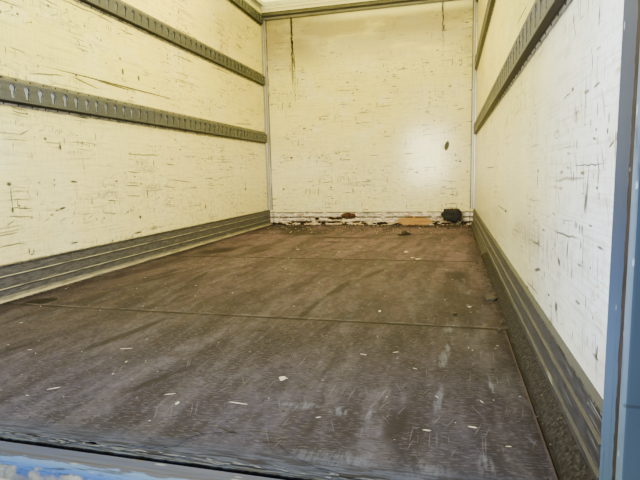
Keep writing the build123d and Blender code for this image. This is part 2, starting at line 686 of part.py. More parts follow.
pair("door_frame", fold_back(door_frame()))
pair("door_straps", fold_back(door_straps()))
pair("locking_gear", fold_back(locking_gear()))

os.makedirs("parts", exist_ok=True)
for part_name, shape in PARTS.items():
    export_step(shape, f"parts/{part_name}.step")
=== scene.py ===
"""Looks of a van's load box: worn liner boards, ribbed kick strips, keyhole rails and a ply floor."""

import math
import random

import bmesh
import bpy
from mathutils import Matrix, Vector, noise


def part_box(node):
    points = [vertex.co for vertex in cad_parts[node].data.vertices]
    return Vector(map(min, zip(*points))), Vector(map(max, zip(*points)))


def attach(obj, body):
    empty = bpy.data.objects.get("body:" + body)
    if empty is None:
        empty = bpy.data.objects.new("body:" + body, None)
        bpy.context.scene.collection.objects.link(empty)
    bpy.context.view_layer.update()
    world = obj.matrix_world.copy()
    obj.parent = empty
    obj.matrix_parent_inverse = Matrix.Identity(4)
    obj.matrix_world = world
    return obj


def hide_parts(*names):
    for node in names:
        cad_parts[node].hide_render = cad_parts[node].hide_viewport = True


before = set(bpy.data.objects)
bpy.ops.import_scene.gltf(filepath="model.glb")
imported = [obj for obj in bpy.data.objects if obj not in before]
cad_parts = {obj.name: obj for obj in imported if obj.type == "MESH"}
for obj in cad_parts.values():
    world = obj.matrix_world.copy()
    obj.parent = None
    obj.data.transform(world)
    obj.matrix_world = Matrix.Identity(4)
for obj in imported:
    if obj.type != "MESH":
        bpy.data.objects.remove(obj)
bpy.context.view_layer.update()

# Places read from the frame, in metres
FLOOR_LOW, FLOOR_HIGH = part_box("floor_sheet_rear")
EDGE_Y = FLOOR_LOW.y
FLOOR_Z = FLOOR_HIGH.z
INNER_X = -FLOOR_LOW.x
REAR_SHEET_X = FLOOR_HIGH.x
FIRST_SEAM_Y = FLOOR_HIGH.y
BOARD_LOW, BOARD_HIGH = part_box("bulkhead_board_middle")
BULKHEAD_Y = BOARD_LOW.y
BOARD_SEAM_X = BOARD_HIGH.x
WALL_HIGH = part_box("side_wall_right")[1]
OUTER_X = WALL_HIGH.x
ROOF_Z = WALL_HIGH.z
SKIN_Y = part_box("bulkhead_skin")[1].y
KICK_LOW, KICK_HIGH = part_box("kick_strip_right")
HEADER_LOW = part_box("bulkhead_header_rail")[0]
POST_LOW, POST_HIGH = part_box("rear_post_right")
DOOR_LOW, DOOR_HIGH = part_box("door_frame_right")
SHEET_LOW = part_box("roof_sheet")[0]
LOAD_LENGTH = BULKHEAD_Y - EDGE_Y
SIDES = (("left", -1), ("right", 1))
ROWS = ("lower", "middle", "upper")

# Places over the floor that the frame doesn't give
BAND_SEAMS = (0.0765, 0.1275)
KICK_RIDGES = (0.054, 0.106)

# Lashing rails: sheet, section and holes
RAIL_T = 0.0025
RAIL_FACE_HALF = 0.041
RAIL_ROOT_HALF = 0.046
RAIL_FOLD_R = 0.003
KEYHOLE_PITCH = 0.075
KEYHOLE_FIRST = 0.062
KEYHOLE_HALF = 0.029
KEYHOLE_HEAD_R = 0.016
KEYHOLE_SLOT_HALF = 0.0085
KEYHOLE_NECK = math.radians(-49)
KEYHOLE_STEPS = 14
SLOT_END_R = 0.003
HOLE_BEVEL = 0.0005
RIM_DEPTH = 0.004
RIM_T = 0.0008

# Heads of rivets, screws and bolts: radius and height
RAIL_RIVET = (0.0042, 0.0022)
BODY_RIVET = (0.0045, 0.0020)
TRIM_RIVET = (0.0040, 0.0020)
KICK_SCREW = (0.0052, 0.0012)
STRAP_BOLT = (0.0090, 0.0045)
BRACKET_BOLT = (0.0080, 0.0040)
BODY_RIVET_STEP = 0.12
TRIM_RIVET_STEP = 0.30
KICK_SCREW_STEP = 0.30
KICK_SCREW_RISE = 0.128
KICK_SCREW_INSET = 0.012
STRAP_BOLTS_FROM_END = (0.030, 0.100, 0.170)
BRACKET_BOLT_RISES = (-0.046, 0.046)
BRACKET_END = 0.060

# Camera, solved from the box's edges in the photograph
CAMERA_X = 0.7949
CAMERA_BEHIND_EDGE = 0.7411
CAMERA_OVER_FLOOR = 0.4957
CAMERA_YAW = 0.2564
CAMERA_PITCH = -0.1290
CAMERA_ROLL = -0.0238
FOCAL_PIXELS = 497.9
PHOTO_WIDTH = 640
SENSOR_MM = 36.0

# Colours, as linear light
CREAM = (0.84, 0.76, 0.38)
CREAM_ROOF_LIT = (0.86, 0.78, 0.17)
WHITE_BLEACHED_AND_DAYLIT = (0.88, 0.94, 1.0)
YELLOWED = (0.70, 0.58, 0.22)
PALE_RUB = (0.86, 0.84, 0.68)
GREY_FILM = (0.34, 0.30, 0.20)
BROWN_MARK = (0.040, 0.031, 0.017)
BLACK_MARK = (0.0045, 0.0036, 0.0030)
GEL_WHITE = (0.78, 0.79, 0.78)
ROAD_DIRT = (0.22, 0.20, 0.17)
PLY_BARE = (0.46, 0.26, 0.085)
PLY_RED = (0.085, 0.032, 0.017)
PLY_EDGE_DARK_AND_SHADED = (0.012, 0.011, 0.011)
FLOOR_BROWN = (0.0350, 0.0248, 0.0265)
FLOOR_GOLD = (0.142, 0.088, 0.148)
FLOOR_GREY = (0.0315, 0.0290, 0.0530)
FLOOR_DARK = (0.0055, 0.0039, 0.0065)
FLOOR_PALE = (0.096, 0.084, 0.104)
CHALK = (0.42, 0.41, 0.40)
ALLOY_DULL = (0.080, 0.076, 0.092)
ALLOY_BRIGHT = (0.52, 0.50, 0.42)
ALLOY_CLEAN = (0.55, 0.56, 0.55)
GALVANISED = (0.051, 0.059, 0.084)
GALVANISED_PALE = (0.13, 0.14, 0.15)
POST_BLUE = (0.0150, 0.0300, 0.0700)
POST_EDGE_HIGHLIGHT = (0.14, 0.20, 0.28)
RUST = (0.105, 0.042, 0.024)
SILL_GREY = (0.0160, 0.0270, 0.1000)
SILL_SKY = (0.050, 0.130, 0.42)
BLACK_PAINT = (0.020, 0.020, 0.021)
ZINC = (0.42, 0.43, 0.43)
ROOF_TINT = (0.88, 0.80, 0.52)
ROOF_GLOW = (1.0, 0.90, 0.15)
ROOF_GLOW_STRENGTH = 3.0
ROOF_RIB_PITCH = 0.050
RUBBER = (0.012, 0.012, 0.013)
STUDIO = (0.70, 0.70, 0.69)
DAYLIGHT = (0.75, 0.90, 1.0)

FAR = 1000.0
MIX_FACTOR, MIX_FROM, MIX_TO, MIX_RESULT = 0, 6, 7, 2

# Marks on the left wall, in millimetres: along, up, length, width, then turn in degrees and softness
LEFT_MARKS = (
    (1830, 1027, 1400, 11, 0.2, 0.4), (1750, 1018, 360, 10, -1, 0.4), (1260, 990, 300, 9, 8),
    (1520, 993, 270, 9, -8.5), (1830, 1110, 24, 44, 0, 0.4), (1980, 1100, 22, 40, 0, 0.4),
    (1300, 660, 26, 40), (990, 490, 34, 24), (995, 430, 8, 130), (995, 380, 18, 32), (1370, 493, 68, 15),
    (1700, 490, 34, 15), (1490, 385, 12, 36, 12), (1990, 410, 14, 80), (3530, 430, 16, 85),
    (3530, 388, 60, 28), (2740, 280, 24, 48, 8), (1280, 367, 60, 18, 10), (1340, 190, 70, 13),
    (1870, 180, 100, 16), (1900, 272, 34, 30), (2730, 642, 26, 18), (2880, 650, 26, 20),
    (2080, 597, 14, 60), (3560, 975, 560, 10, 4), (1050, 679, 180, 5, 0.5), (2400, 480, 420, 8, -5),
    (1060, 192, 10, 40), (1085, 186, 10, 34), (1073, 174, 24, 10), (1150, 493, 18, 8), (1245, 505, 10, 14),
    (1245, 480, 10, 14))
LEFT_SMEARS = (
    (1120, 615, 40, 50, 30), (1240, 489, 30, 50), (1450, 570, 20, 130, 6), (1380, 450, 14, 110, 10),
    (1450, 405, 300, 20, -4), (1950, 600, 200, 60), (2020, 560, 260, 70), (2050, 440, 300, 90),
    (1600, 420, 340, 60))
LEFT_BUSY = ((1950, 400, 2000, 620, 0, 0.9), (1100, 400, 500, 400, 0, 0.9), (3000, 500, 1300, 800, 0, 0.9))

# Marks on the right wall, in the same order
RIGHT_MARKS = (
    (167, 735, 9, 50), (194, 671, 7, 40), (328, 647, 26, 12), (375, 642, 80, 5, -5), (93, 551, 12, 14),
    (72, 530, 34, 6, -17), (192, 458, 10, 105, 2), (200, 440, 18, 55, 8), (196, 503, 270, 3.6),
    (690, 494, 26, 16), (694, 470, 14, 54), (135, 465, 20, 7), (1450, 331, 110, 15), (1630, 332, 480, 6),
    (152, 590, 6, 40), (2350, 518, 850, 8), (392, 303, 40, 20, 20), (203, 334, 11, 8), (403, 201, 40, 28),
    (169, 271, 7, 30), (92, 211, 12, 32, 6), (125, 257, 8, 9), (150, 334, 11, 11),
    (650, 236, 120, 14, -12), (320, 340, 12, 56, 15), (251, 188, 7, 20), (810, 153, 60, 10),
    (1100, 1006, 400, 8, 2), (155, 558, 14, 9), (490, 207, 34, 8))
RIGHT_SMEARS = (
    (384, 726, 80, 30), (248, 688, 66, 6), (248, 679, 66, 5), (75, 649, 30, 9), (60, 628, 40, 14),
    (112, 713, 44, 6), (1450, 604, 140, 34), (1950, 295, 860, 75), (110, 300, 120, 30, -30),
    (85, 250, 60, 8), (100, 235, 80, 6, -14), (900, 300, 600, 80))
RIGHT_BUSY = ((800, 300, 1600, 460, 0, 0.9), (180, 450, 500, 1100, 0, 0.9), (2200, 400, 1600, 500, 0, 0.9))

# Marks on the bulkhead: across, up, length, width, turn, softness
BULKHEAD_MARKS = (
    (277, 1312, 60, 15, 4), (318, 1383, 36, 10), (-79, 1307, 40, 14), (-170, 1303, 180, 6, 2),
    (788, 1280, 44, 18, 12), (602, 1237, 36, 13, -8), (880, 1070, 90, 14, 8), (841, 1104, 50, 10),
    (583, 1067, 50, 12), (-696, 1293, 16, 20), (-752, 1221, 20, 18), (477, 1706, 16, 16),
    (689, 1706, 44, 9, 6), (-758, 679, 36, 34), (-853, 364, 28, 34), (80, 675, 130, 10, 2),
    (410, 680, 100, 10), (436, 530, 52, 11, 10), (485, 502, 30, 20), (763, 742, 52, 110, -14, 0.4),
    (649, 978, 18, 18), (718, 483, 14, 24), (-21, 382, 18, 26), (-178, 455, 10, 65), (-99, 430, 6, 120),
    (-496, 632, 14, 36, 10), (-188, 686, 14, 26), (959, 1707, 22, 18), (930, 1826, 60, 16),
    (-18, 965, 18, 16), (825, 205, 90, 11), (-270, 485, 16, 14), (952, 500, 14, 26))
BULKHEAD_SMEARS = (
    (125, 1633, 30, 80, -16), (253, 1699, 46, 22), (-201, 1573, 32, 30), (720, 335, 60, 50, 20),
    (722, 440, 14, 150), (735, 740, 80, 90), (64, 380, 76, 22, 24), (-531, 992, 38, 30),
    (930, 1700, 80, 40), (930, 1600, 60, 140), (-790, 482, 360, 9), (-100, 400, 420, 60))
BULKHEAD_BUSY = ((0, 420, 2100, 700, 0, 0.9), (620, 1150, 900, 500, 0, 0.9))
SEAM_TEARS = (
    (-722, 1990, 16, 120, 0, 0.3), (-719, 1900, 20, 130, 1, 0.3), (-716, 1795, 26, 50, 0, 0.3),
    (-713, 1740, 14, 150, 3, 0.3), (-722, 1660, 11, 130, -3, 0.4), (-700, 1610, 14, 200, 2, 0.3),
    (-726, 1500, 7, 260, 1, 0.5), (-697, 1440, 7, 240, 0, 0.5), (-703, 1300, 6, 240, 1, 0.6),
    (716, 1975, 10, 110, 1.5, 0.3), (721, 1890, 11, 120, 2, 0.3), (728, 1800, 22, 60, 0, 0.3),
    (732, 1772, 60, 9, 0, 0.5), (728, 1690, 6, 170, 0, 0.6))

# Marks on the floor: along, across, length, width, turn, softness
FLOOR_STAINS = (
    (3780, -680, 620, 620), (3450, -460, 620, 620, 12), (3100, -20, 120, 660), (2850, -50, 90, 340),
    (2360, -740, 400, 260, 20), (3380, 420, 100, 260), (1000, 296, 400, 40, 2), (1360, 320, 440, 50, 6),
    (1720, 430, 420, 60, 18), (200, 700, 190, 60, 10), (1500, -420, 400, 50, -8), (600, -220, 500, 50, 8),
    (3950, 500, 160, 600), (1700, 840, 300, 140), (300, 100, 300, 50, 24), (360, -480, 400, 45, 12),
    (1450, -620, 360, 50, 10))
FLOOR_MARKS = (
    (932, -862, 150, 110, 30, 0.2), (723, 185, 7, 130), (32, 670, 12, 14), (34, 537, 10, 12),
    (1022, 813, 60, 12), (666, 526, 14, 20), (851, 950, 12, 30), (1260, 955, 40, 30), (44, 243, 7, 30, 40),
    (66, 272, 7, 40, 32), (90, 318, 6, 60, 22), (108, 372, 6, 70, 12), (115, 437, 5, 80, -4),
    (96, 485, 5, 40, -30), (28, 300, 5, 70, 10))
FLOOR_HAZE = (
    (1372, 864, 120, 34), (1159, 858, 50, 40), (1620, 866, 60, 26), (243, 483, 40, 120),
    (229, 575, 50, 60, 20), (209, 646, 110, 16), (329, 778, 200, 22, 4), (574, 787, 180, 30),
    (654, 800, 160, 20), (440, 897, 160, 12), (303, 650, 150, 10, 8), (839, 800, 80, 50),
    (60, 600, 80, 200), (45, 760, 80, 110), (84, 860, 100, 40), (2450, 240, 100, 140))

# Rubs and scratches: size of the cells in metres, share of them drawn, turn in degrees, seed
LEFT_RUBS = (((0.55, 0.011), 0.16, 1, 31), ((0.20, 0.010), 0.14, -4, 32), ((0.050, 0.009), 0.08, 87, 33),
             ((0.09, 0.008), 0.05, 24, 34), ((0.030, 0.022), 0.10, 0, 35))
RIGHT_RUBS = (((0.060, 0.010), 0.08, 0, 41), ((0.15, 0.008), 0.20, 86, 42), ((0.08, 0.008), 0.08, 62, 43),
              ((0.40, 0.009), 0.08, -2, 44), ((0.030, 0.016), 0.12, 90, 45))
BULKHEAD_RUBS = (((0.20, 0.014), 0.13, 2, 51), ((0.12, 0.012), 0.06, 88, 52), ((0.09, 0.014), 0.08, -10, 53),
                 ((0.036, 0.022), 0.10, 8, 54))
FLOOR_SCRATCHES = (((0.16, 0.006), 0.10, 3, 11), ((0.11, 0.005), 0.10, 18, 12), ((0.14, 0.005), 0.03, 84, 13),
                   ((0.14, 0.005), 0.08, -24, 14))

LEFT = (LEFT_MARKS, LEFT_SMEARS, LEFT_BUSY, LEFT_RUBS)
RIGHT = (RIGHT_MARKS, RIGHT_SMEARS, RIGHT_BUSY, RIGHT_RUBS)
BULKHEAD = (BULKHEAD_MARKS, BULKHEAD_SMEARS, BULKHEAD_BUSY, BULKHEAD_RUBS)


# Materials
class Look:
    """A material built up in coats over a base. A place on it is metres along, up and through the
    surface, from the middle of the floor's rear edge, with axes naming the frame's axes in that order.
    Where a value is wanted, x, y and z stand for the frame's axes and aside for the distance from the
    box's middle. A mask is one value, or several that are multiplied."""

    def __init__(self, name, axes="yzx", flat=False):
        self.noise_kind = "2D" if flat else "3D"
        self.material = bpy.data.materials.new(name)
        self.material.use_nodes = True
        self.tree = self.material.node_tree
        self.shader = self.tree.nodes["Principled BSDF"]
        moved = self.vector("SUBTRACT", self.add("TexCoord").outputs["Object"], (0.0, EDGE_Y, FLOOR_Z))
        split = self.add("SeparateXYZ", {"Vector": moved})
        self.at = {axis: split.outputs[axis.upper()] for axis in "xyz"}
        self.at["aside"] = self.math("ABSOLUTE", "x")
        self.place = self.add("CombineXYZ", dict(zip("XYZ", axes))).outputs[0]
        self.height = None

    def add(self, kind, inputs=None, **settings):
        node = self.tree.nodes.new("ShaderNode" + kind)
        for key, value in settings.items():
            setattr(node, key, value)
        for key, value in (inputs or {}).items():
            self.feed(node.inputs[key], value)
        return node

    def feed(self, socket, value):
        if isinstance(value, str):
            value = self.at[value]
        if isinstance(value, bpy.types.NodeSocket):
            self.tree.links.new(value, socket)
        elif socket.type == "RGBA":
            socket.default_value = (*value, 1.0)
        else:
            socket.default_value = value

    def math(self, operation, *values):
        return self.add("Math", dict(enumerate(values)), operation=operation).outputs[0]

    def vector(self, operation, *values, output="Vector"):
        return self.add("VectorMath", dict(enumerate(values)), operation=operation).outputs[output]

    def product(self, first, *others):
        for other in others:
            first = self.math("MULTIPLY", first, other)
        return first

    def highest(self, first, *others):
        for other in others:
            first = self.math("MAXIMUM", first, other)
        return first

    def ramp(self, value, low, high, at_low=0.0, at_high=1.0, kind="SMOOTHSTEP"):
        """Turn low...high into at_low...at_high. Low may be the greater of the two."""
        ends = {"Value": value, "From Min": low, "From Max": high, "To Min": at_low, "To Max": at_high}
        return self.add("MapRange", ends, interpolation_type=kind).outputs["Result"]

    def near(self, where, value, reach):
        """Full where an axis or a number has this value, and gone at that reach from it."""
        return self.ramp(self.math("ABSOLUTE", self.math("SUBTRACT", where, value)), reach, 0.0)

    def mapped(self, size, turn=0.0, middle=(0.0, 0.0), place=None):
        """The place less the middle, in steps of size, along axes turned by that many degrees."""
        place = place or self.place
        steps = size if len(size) == 3 else (*size, FAR)
        if turn:
            cos, sin = math.cos(math.radians(turn)), math.sin(math.radians(turn))
            axes = (cos, sin, 0.0), (-sin, cos, 0.0)
            shares = [self.vector("DOT_PRODUCT", place, axis, output="Value") for axis in axes]
            place = self.add("CombineXYZ", dict(zip("XY", shares))).outputs[0]
            middle = (cos * middle[0] + sin * middle[1], cos * middle[1] - sin * middle[0])
        start = [-m / step for m, step in zip((*middle, 0.0), steps)]
        return self.vector("MULTIPLY_ADD", place, [1.0 / step for step in steps], start)

    def cloud(self, size, low, high, seed, detail=3.0, grit=0.55, turn=0.0, place=None):
        """Soft patches of the given size, where noise lies between low and high."""
        vector = self.mapped(size, turn, (7.3 * seed, 3.1 * seed), place)
        inputs = {"Vector": vector, "Scale": 1.0, "Detail": detail, "Roughness": grit}
        made = self.add("TexNoise", inputs, noise_dimensions=self.noise_kind)
        return self.ramp(made.outputs["Fac"], low, high)

    def shaken(self, reach, size):
        """The place, pushed about by up to reach, so that lines drawn on it waver."""
        inputs = {"Vector": self.mapped((size, size, size)), "Scale": 1.0, "Detail": 2.0}
        shade = self.add("TexNoise", inputs).outputs["Color"]
        push = self.vector("MULTIPLY_ADD", shade, (2 * reach, 2 * reach, 0.0), (-reach, -reach, 0.0))
        return self.vector("ADD", self.place, push)

    def strokes(self, cell, part, seed, fill=0.35, turn=0.0, soft=0.5, place=None):
        """Scattered strokes: of all cells of this size, the part that hold one, of varied reach and depth."""
        vector = self.mapped(cell, turn, (1.7 * seed, 2.9 * seed), place)
        cells = self.add("TexVoronoi", {"Vector": vector, "Scale": 1.0}, voronoi_dimensions="2D")
        chance = self.add("SeparateColor", {"Color": cells.outputs["Color"]}).outputs
        reach = self.math("MULTIPLY_ADD", chance["Green"], 0.7 * fill, 0.3 * fill)
        body = self.ramp(cells.outputs["Distance"], reach, self.product(reach, 1.0 - soft))
        depth = self.math("MULTIPLY_ADD", chance["Blue"], 0.4, 0.6)
        return self.product(body, self.math("LESS_THAN", chance["Red"], part), depth)

    def mark(self, along, up, length, width, turn=0.0, soft=0.6, place=None):
        """One oval mark of this length and width at a place, all four in millimetres."""
        vector = self.mapped((length / 2000, width / 2000), turn, (along / 1000, up / 1000), place)
        return self.ramp(self.vector("LENGTH", vector, output="Value"), 1.0, 1.0 - soft)

    def marks(self, table, place=None):
        return self.highest(*(self.mark(*row, place=place) for row in table))

    def base(self, colour, rough, metal=0.0, shine=0.5):
        self.colour, self.rough, self.metal = colour, rough, metal
        self.shader.inputs["Specular IOR Level"].default_value = shine

    def coat(self, mask, colour=None, share=1.0, rough=None, metal=None, relief=0.0):
        """Cover the mask with a colour and finish, and raise or sink it by relief metres."""
        if isinstance(mask, tuple):
            mask = self.product(*mask)
        if share != 1.0:
            mask = self.product(mask, share)
        if colour is not None:
            mix = self.add("Mix", {MIX_FACTOR: mask}, data_type="RGBA")
            self.feed(mix.inputs[MIX_FROM], self.colour)
            self.feed(mix.inputs[MIX_TO], colour)
            self.colour = mix.outputs[MIX_RESULT]
        if rough is not None:
            self.rough = self.ramp(mask, 0.0, 1.0, self.rough, rough, "LINEAR")
        if metal is not None:
            self.metal = self.ramp(mask, 0.0, 1.0, self.metal, metal, "LINEAR")
        if relief:
            self.height = self.product(mask, relief)

    def patches(self, size, low, high, seed, colour, share=1.0, rough=None, metal=None, **kind):
        """Coat soft patches."""
        self.coat(self.cloud(size, low, high, seed, **kind), colour, share, rough, metal)

    def nicks(self, cell, part, seed, colour, share=1.0, rough=None, **kind):
        """Coat scattered strokes."""
        self.coat(self.strokes(cell, part, seed, **kind), colour, share, rough)

    def band(self, axis, place, reach, colour, share=1.0, *masks, **finish):
        """Coat a soft line where an axis has this value, within the masks."""
        self.coat((self.near(axis, place, reach), *masks), colour, share, **finish)

    def done(self):
        for name, value in (("Base Color", self.colour), ("Roughness", self.rough), ("Metallic", self.metal)):
            self.feed(self.shader.inputs[name], value)
        if self.height is not None:
            bump = self.add("Bump", {"Height": self.height, "Distance": 1.0, "Strength": 1.0})
            self.feed(self.shader.inputs["Normal"], bump.outputs[0])
        return self.material


def liner_look(name, axes, tables, rough, bleached_and_daylit=False):
    """Cream resin-faced board: painted yellow roof light towards the roof; on request whiter towards the
    doorway, partly bleached and partly painted daylight, with painted shade and painted sky light low on the
    wall; rubbed along, specked, scratched and stained.
    """
    marks, smears, busy, rubs = tables
    look = Look(name, axes, flat=True)
    wavering = look.shaken(0.008, 0.09)
    look.base(CREAM, rough=rough, shine=0.45)
    # Painted light: the boards turn yellow towards the roof, the colour of the light through the yellowed
    # roof sheet.
    look.coat(look.ramp("z", 0.45, 1.25), CREAM_ROOF_LIT)
    if bleached_and_daylit:
        # Whiter towards the doorway: partly bleaching, partly painted cool daylight.
        look.coat(look.ramp("y", 0.98, 0.10), WHITE_BLEACHED_AND_DAYLIT)
        # Painted shade: grey patches over the lower wall; then a painted blue sky light near the floor.
        film = look.cloud((0.30, 0.25), 0.25, 0.60, 9)
        look.coat((look.ramp("z", 1.15, 0.75), film), (0.46, 0.46, 0.46), 0.34)
        look.coat(look.ramp("z", 0.80, 0.20), (0.50, 0.56, 0.68), 0.22)
    look.patches((0.75, 0.40), 0.40, 0.68, 1, YELLOWED, 0.22)
    look.patches((0.30, 0.22), 0.50, 0.72, 2, PALE_RUB, 0.35)
    look.patches((0.30, 0.006), 0.52, 0.72, 3, GREY_FILM, 0.36, detail=2)
    look.patches((0.006, 0.16), 0.54, 0.74, 4, GREY_FILM, 0.32, detail=2)
    worn = look.highest(look.cloud((0.42, 0.20), 0.40, 0.60, 6, 2), look.marks(busy))
    foot = look.product(look.ramp("z", 0.75, 0.16), 0.8)
    dust = look.cloud((0.05, 0.022), 0.45, 0.72, 5, 4, 0.7)
    look.coat((look.highest(foot, worn), dust), GREY_FILM, 0.42)
    spread = look.highest(look.ramp(worn, 0.3, 0.9), 0.14)
    for cell, part, turn, seed in rubs:
        drawn = look.strokes(cell, part, seed, fill=0.42, turn=turn, soft=0.4, place=wavering)
        look.coat((drawn, spread), BROWN_MARK)
    broken = look.cloud((0.020, 0.012), 0.38, 0.62, 7, 2)
    look.coat((look.marks(smears, wavering), broken), GREY_FILM, 0.75)
    look.coat(look.marks(marks, look.shaken(0.0035, 0.02)), BLACK_MARK, 0.94, rough=0.7)
    return look


def wall_look(name, tables, bleached_and_daylit=False):
    """A side wall: its board, painted pale behind the rails as light seen through the keyholes, dirt and
    painted shade along the rails, and its weathered outer skin.
    """
    look = liner_look(name, "yzx", tables, 0.30, bleached_and_daylit)
    dirt_and_shade_breakup = look.cloud((0.05, 0.02), 0.35, 0.6, 8, 2)
    for row in ROWS:
        low, high = (corner.z - FLOOR_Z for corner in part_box(f"lash_rail_{row}_left"))
        # Painted light: the wall behind each rail, seen through the keyholes, is painted pale.
        behind = (look.ramp("z", low + 0.014, low + 0.016), look.ramp("z", high - 0.014, high - 0.016))
        look.coat(behind, (0.98, 0.96, 0.84))
        # Dark lines along the rails' edges and above the kick strip: dirt and painted shade.
        look.band("z", low - 0.001, 0.008, BROWN_MARK, 0.65, dirt_and_shade_breakup)
        look.band("z", high + 0.001, 0.005, BROWN_MARK, 0.50, dirt_and_shade_breakup)
    look.band("z", KICK_HIGH.z - FLOOR_Z + 0.001, 0.006, BROWN_MARK, 0.7, look.ramp("x", 0.1, -0.1), dirt_and_shade_breakup)
    outside = look.ramp("aside", OUTER_X - 0.0015, OUTER_X - 0.0005)
    look.coat(outside, GEL_WHITE, rough=0.28)
    look.coat((outside, look.cloud((0.025, 0.7), 0.52, 0.75, 21, 2)), ROAD_DIRT, 0.22)
    spray = look.cloud((0.12, 0.09), 0.3, 0.75, 22, 4)
    look.coat((outside, look.ramp("z", 0.75, -0.15), spray), ROAD_DIRT, 0.75)
    return look.done()


def bulkhead_look():
    """The bulkhead's boards: smoother, painted shade over the upper boards, a painted band of roof light and
    a painted shadow under the header, dark and frayed where the seams are bare.
    """
    look = liner_look("liner_bulkhead", "xzy", BULKHEAD, 0.15)
    # Painted shade: the upper boards darker, more so to the left; then a painted band of yellow roof light
    # just under the header.
    shade = look.cloud((0.45, 0.16), 0.12, 0.52, 13, 2)
    look.coat((look.ramp("z", 1.42, 1.80), shade), (0.30, 0.25, 0.12), 0.72)
    look.coat((look.ramp("z", 1.40, 1.85), look.ramp("x", -0.10, -0.75)), (0.28, 0.22, 0.10), 0.50)
    look.coat((look.ramp("z", 1.93, 2.00), look.ramp("x", -0.65, -0.05)), (0.96, 0.90, 0.36), 0.85)
    look.band("aside", BOARD_SEAM_X + 0.001, 0.026, GREY_FILM, 0.60, look.ramp("z", 1.35, 1.95))
    ragged = look.math("ADD", "x", look.product(look.cloud((0.03, 0.05), 0.25, 0.75, 14), 0.012))
    cracks = [look.product(look.near(ragged, place, reach), look.ramp("z", foot, top))
              for place, reach, foot, top in ((0.005 - BOARD_SEAM_X, 0.017, 1.25, 1.62),
                                              (0.006 + BOARD_SEAM_X, 0.009, 1.66, 1.80))]
    look.coat(look.highest(*cracks), BLACK_MARK, 0.97)
    look.coat(look.marks(SEAM_TEARS, look.shaken(0.008, 0.035)), BLACK_MARK, 0.97)
    # Painted shadow: a dark band under the header rail.
    look.band("z", HEADER_LOW.z - FLOOR_Z - 0.001, 0.010, BLACK_MARK, 0.8)
    look.band("aside", INNER_X - 0.0415, 0.006, BROWN_MARK, 0.6)
    return look.done()


def lower_band_look():
    """Battered boards: scuffed white paint, torn ply at the foot, one red-brown and one bare patch."""
    look = Look("lower_band_battered", "xzy", flat=True)
    ragged = look.shaken(0.014, 0.03)
    look.base((0.74, 0.66, 0.56), rough=0.55, shine=0.3)
    look.patches((0.05, 0.015), 0.46, 0.62, 1, GREY_FILM, 0.75, detail=5)
    look.patches((0.09, 0.010), 0.52, 0.60, 9, (0.30, 0.11, 0.07), 0.75, detail=4)
    look.nicks((0.035, 0.016), 0.34, 2, BROWN_MARK, fill=0.34, place=ragged)
    look.nicks((0.10, 0.014), 0.30, 3, PLY_RED, 0.9, fill=0.34, place=ragged)
    torn = look.cloud((0.07, 0.03), 0.45, 0.50, 4, 5, 0.7)
    look.coat((look.ramp("z", 0.046, 0.020), torn), (0.42, 0.30, 0.16), rough=0.8)
    soaked = look.cloud((0.10, 0.03), 0.46, 0.51, 5, 5)
    look.coat((look.ramp("z", 0.058, 0.026), soaked), FLOOR_DARK, rough=0.9)
    red = look.marks(((-180, 88, 165, 72, 0, 0.15), (-300, 64, 150, 34, 0, 0.15)), ragged)
    look.coat(red, PLY_RED, rough=0.9)
    look.coat((red, look.cloud((0.03, 0.010), 0.45, 0.60, 8)), BLACK_MARK, 0.7)
    look.coat(look.mark(0, 112, 150, 40, 0, 0.8, ragged), (0.10, 0.12, 0.12), 0.85)
    bare = look.mark(470, 36, 360, 104, 0, 0.2, ragged)
    look.coat(bare, PLY_BARE, rough=0.8)
    look.coat((bare, look.cloud((0.16, 0.006), 0.35, 0.65, 6, 4)), (0.21, 0.10, 0.030), 0.8)
    # Painted shade: black round the torn corner opening.
    look.coat(look.mark(820, 80, 270, 200, 0, 0.35, ragged), BLACK_MARK, 0.85)
    for seam in BAND_SEAMS:
        look.band("z", seam, 0.015, BLACK_MARK, 0.97, look.cloud((0.10, 0.03), 0.34, 0.42, 7, 2))
    look.band("aside", INNER_X - 0.0415, 0.008, BLACK_MARK, 0.8)
    return look.done()


def panel_look(name, axes):
    """Outer skin of bulkhead and doors: weathered white; the bulkhead skin's inner face is painted black, as
    shade seen through the torn openings.
    """
    look = Look(name, axes, flat=True)
    look.base(GEL_WHITE, rough=0.28)
    look.patches((0.03, 0.8), 0.52, 0.76, 1, ROAD_DIRT, 0.20)
    look.coat((look.ramp("z", 0.70, -0.10), look.cloud((0.10, 0.08), 0.3, 0.75, 2, 5)), ROAD_DIRT, 0.7)
    look.nicks((0.16, 0.006), 0.04, 3, GREY_FILM, 0.6)
    look.nicks((0.02, 0.016), 0.08, 4, BROWN_MARK, 0.6, fill=0.18)
    # Painted shade: the skin's inner face is black where the torn openings look into the cavity.
    if axes == "xzy":
        look.coat(look.ramp("y", SKIN_Y - EDGE_Y - 0.001, SKIN_Y - EDGE_Y - 0.002), BLACK_MARK, rough=0.9)
    return look.done()


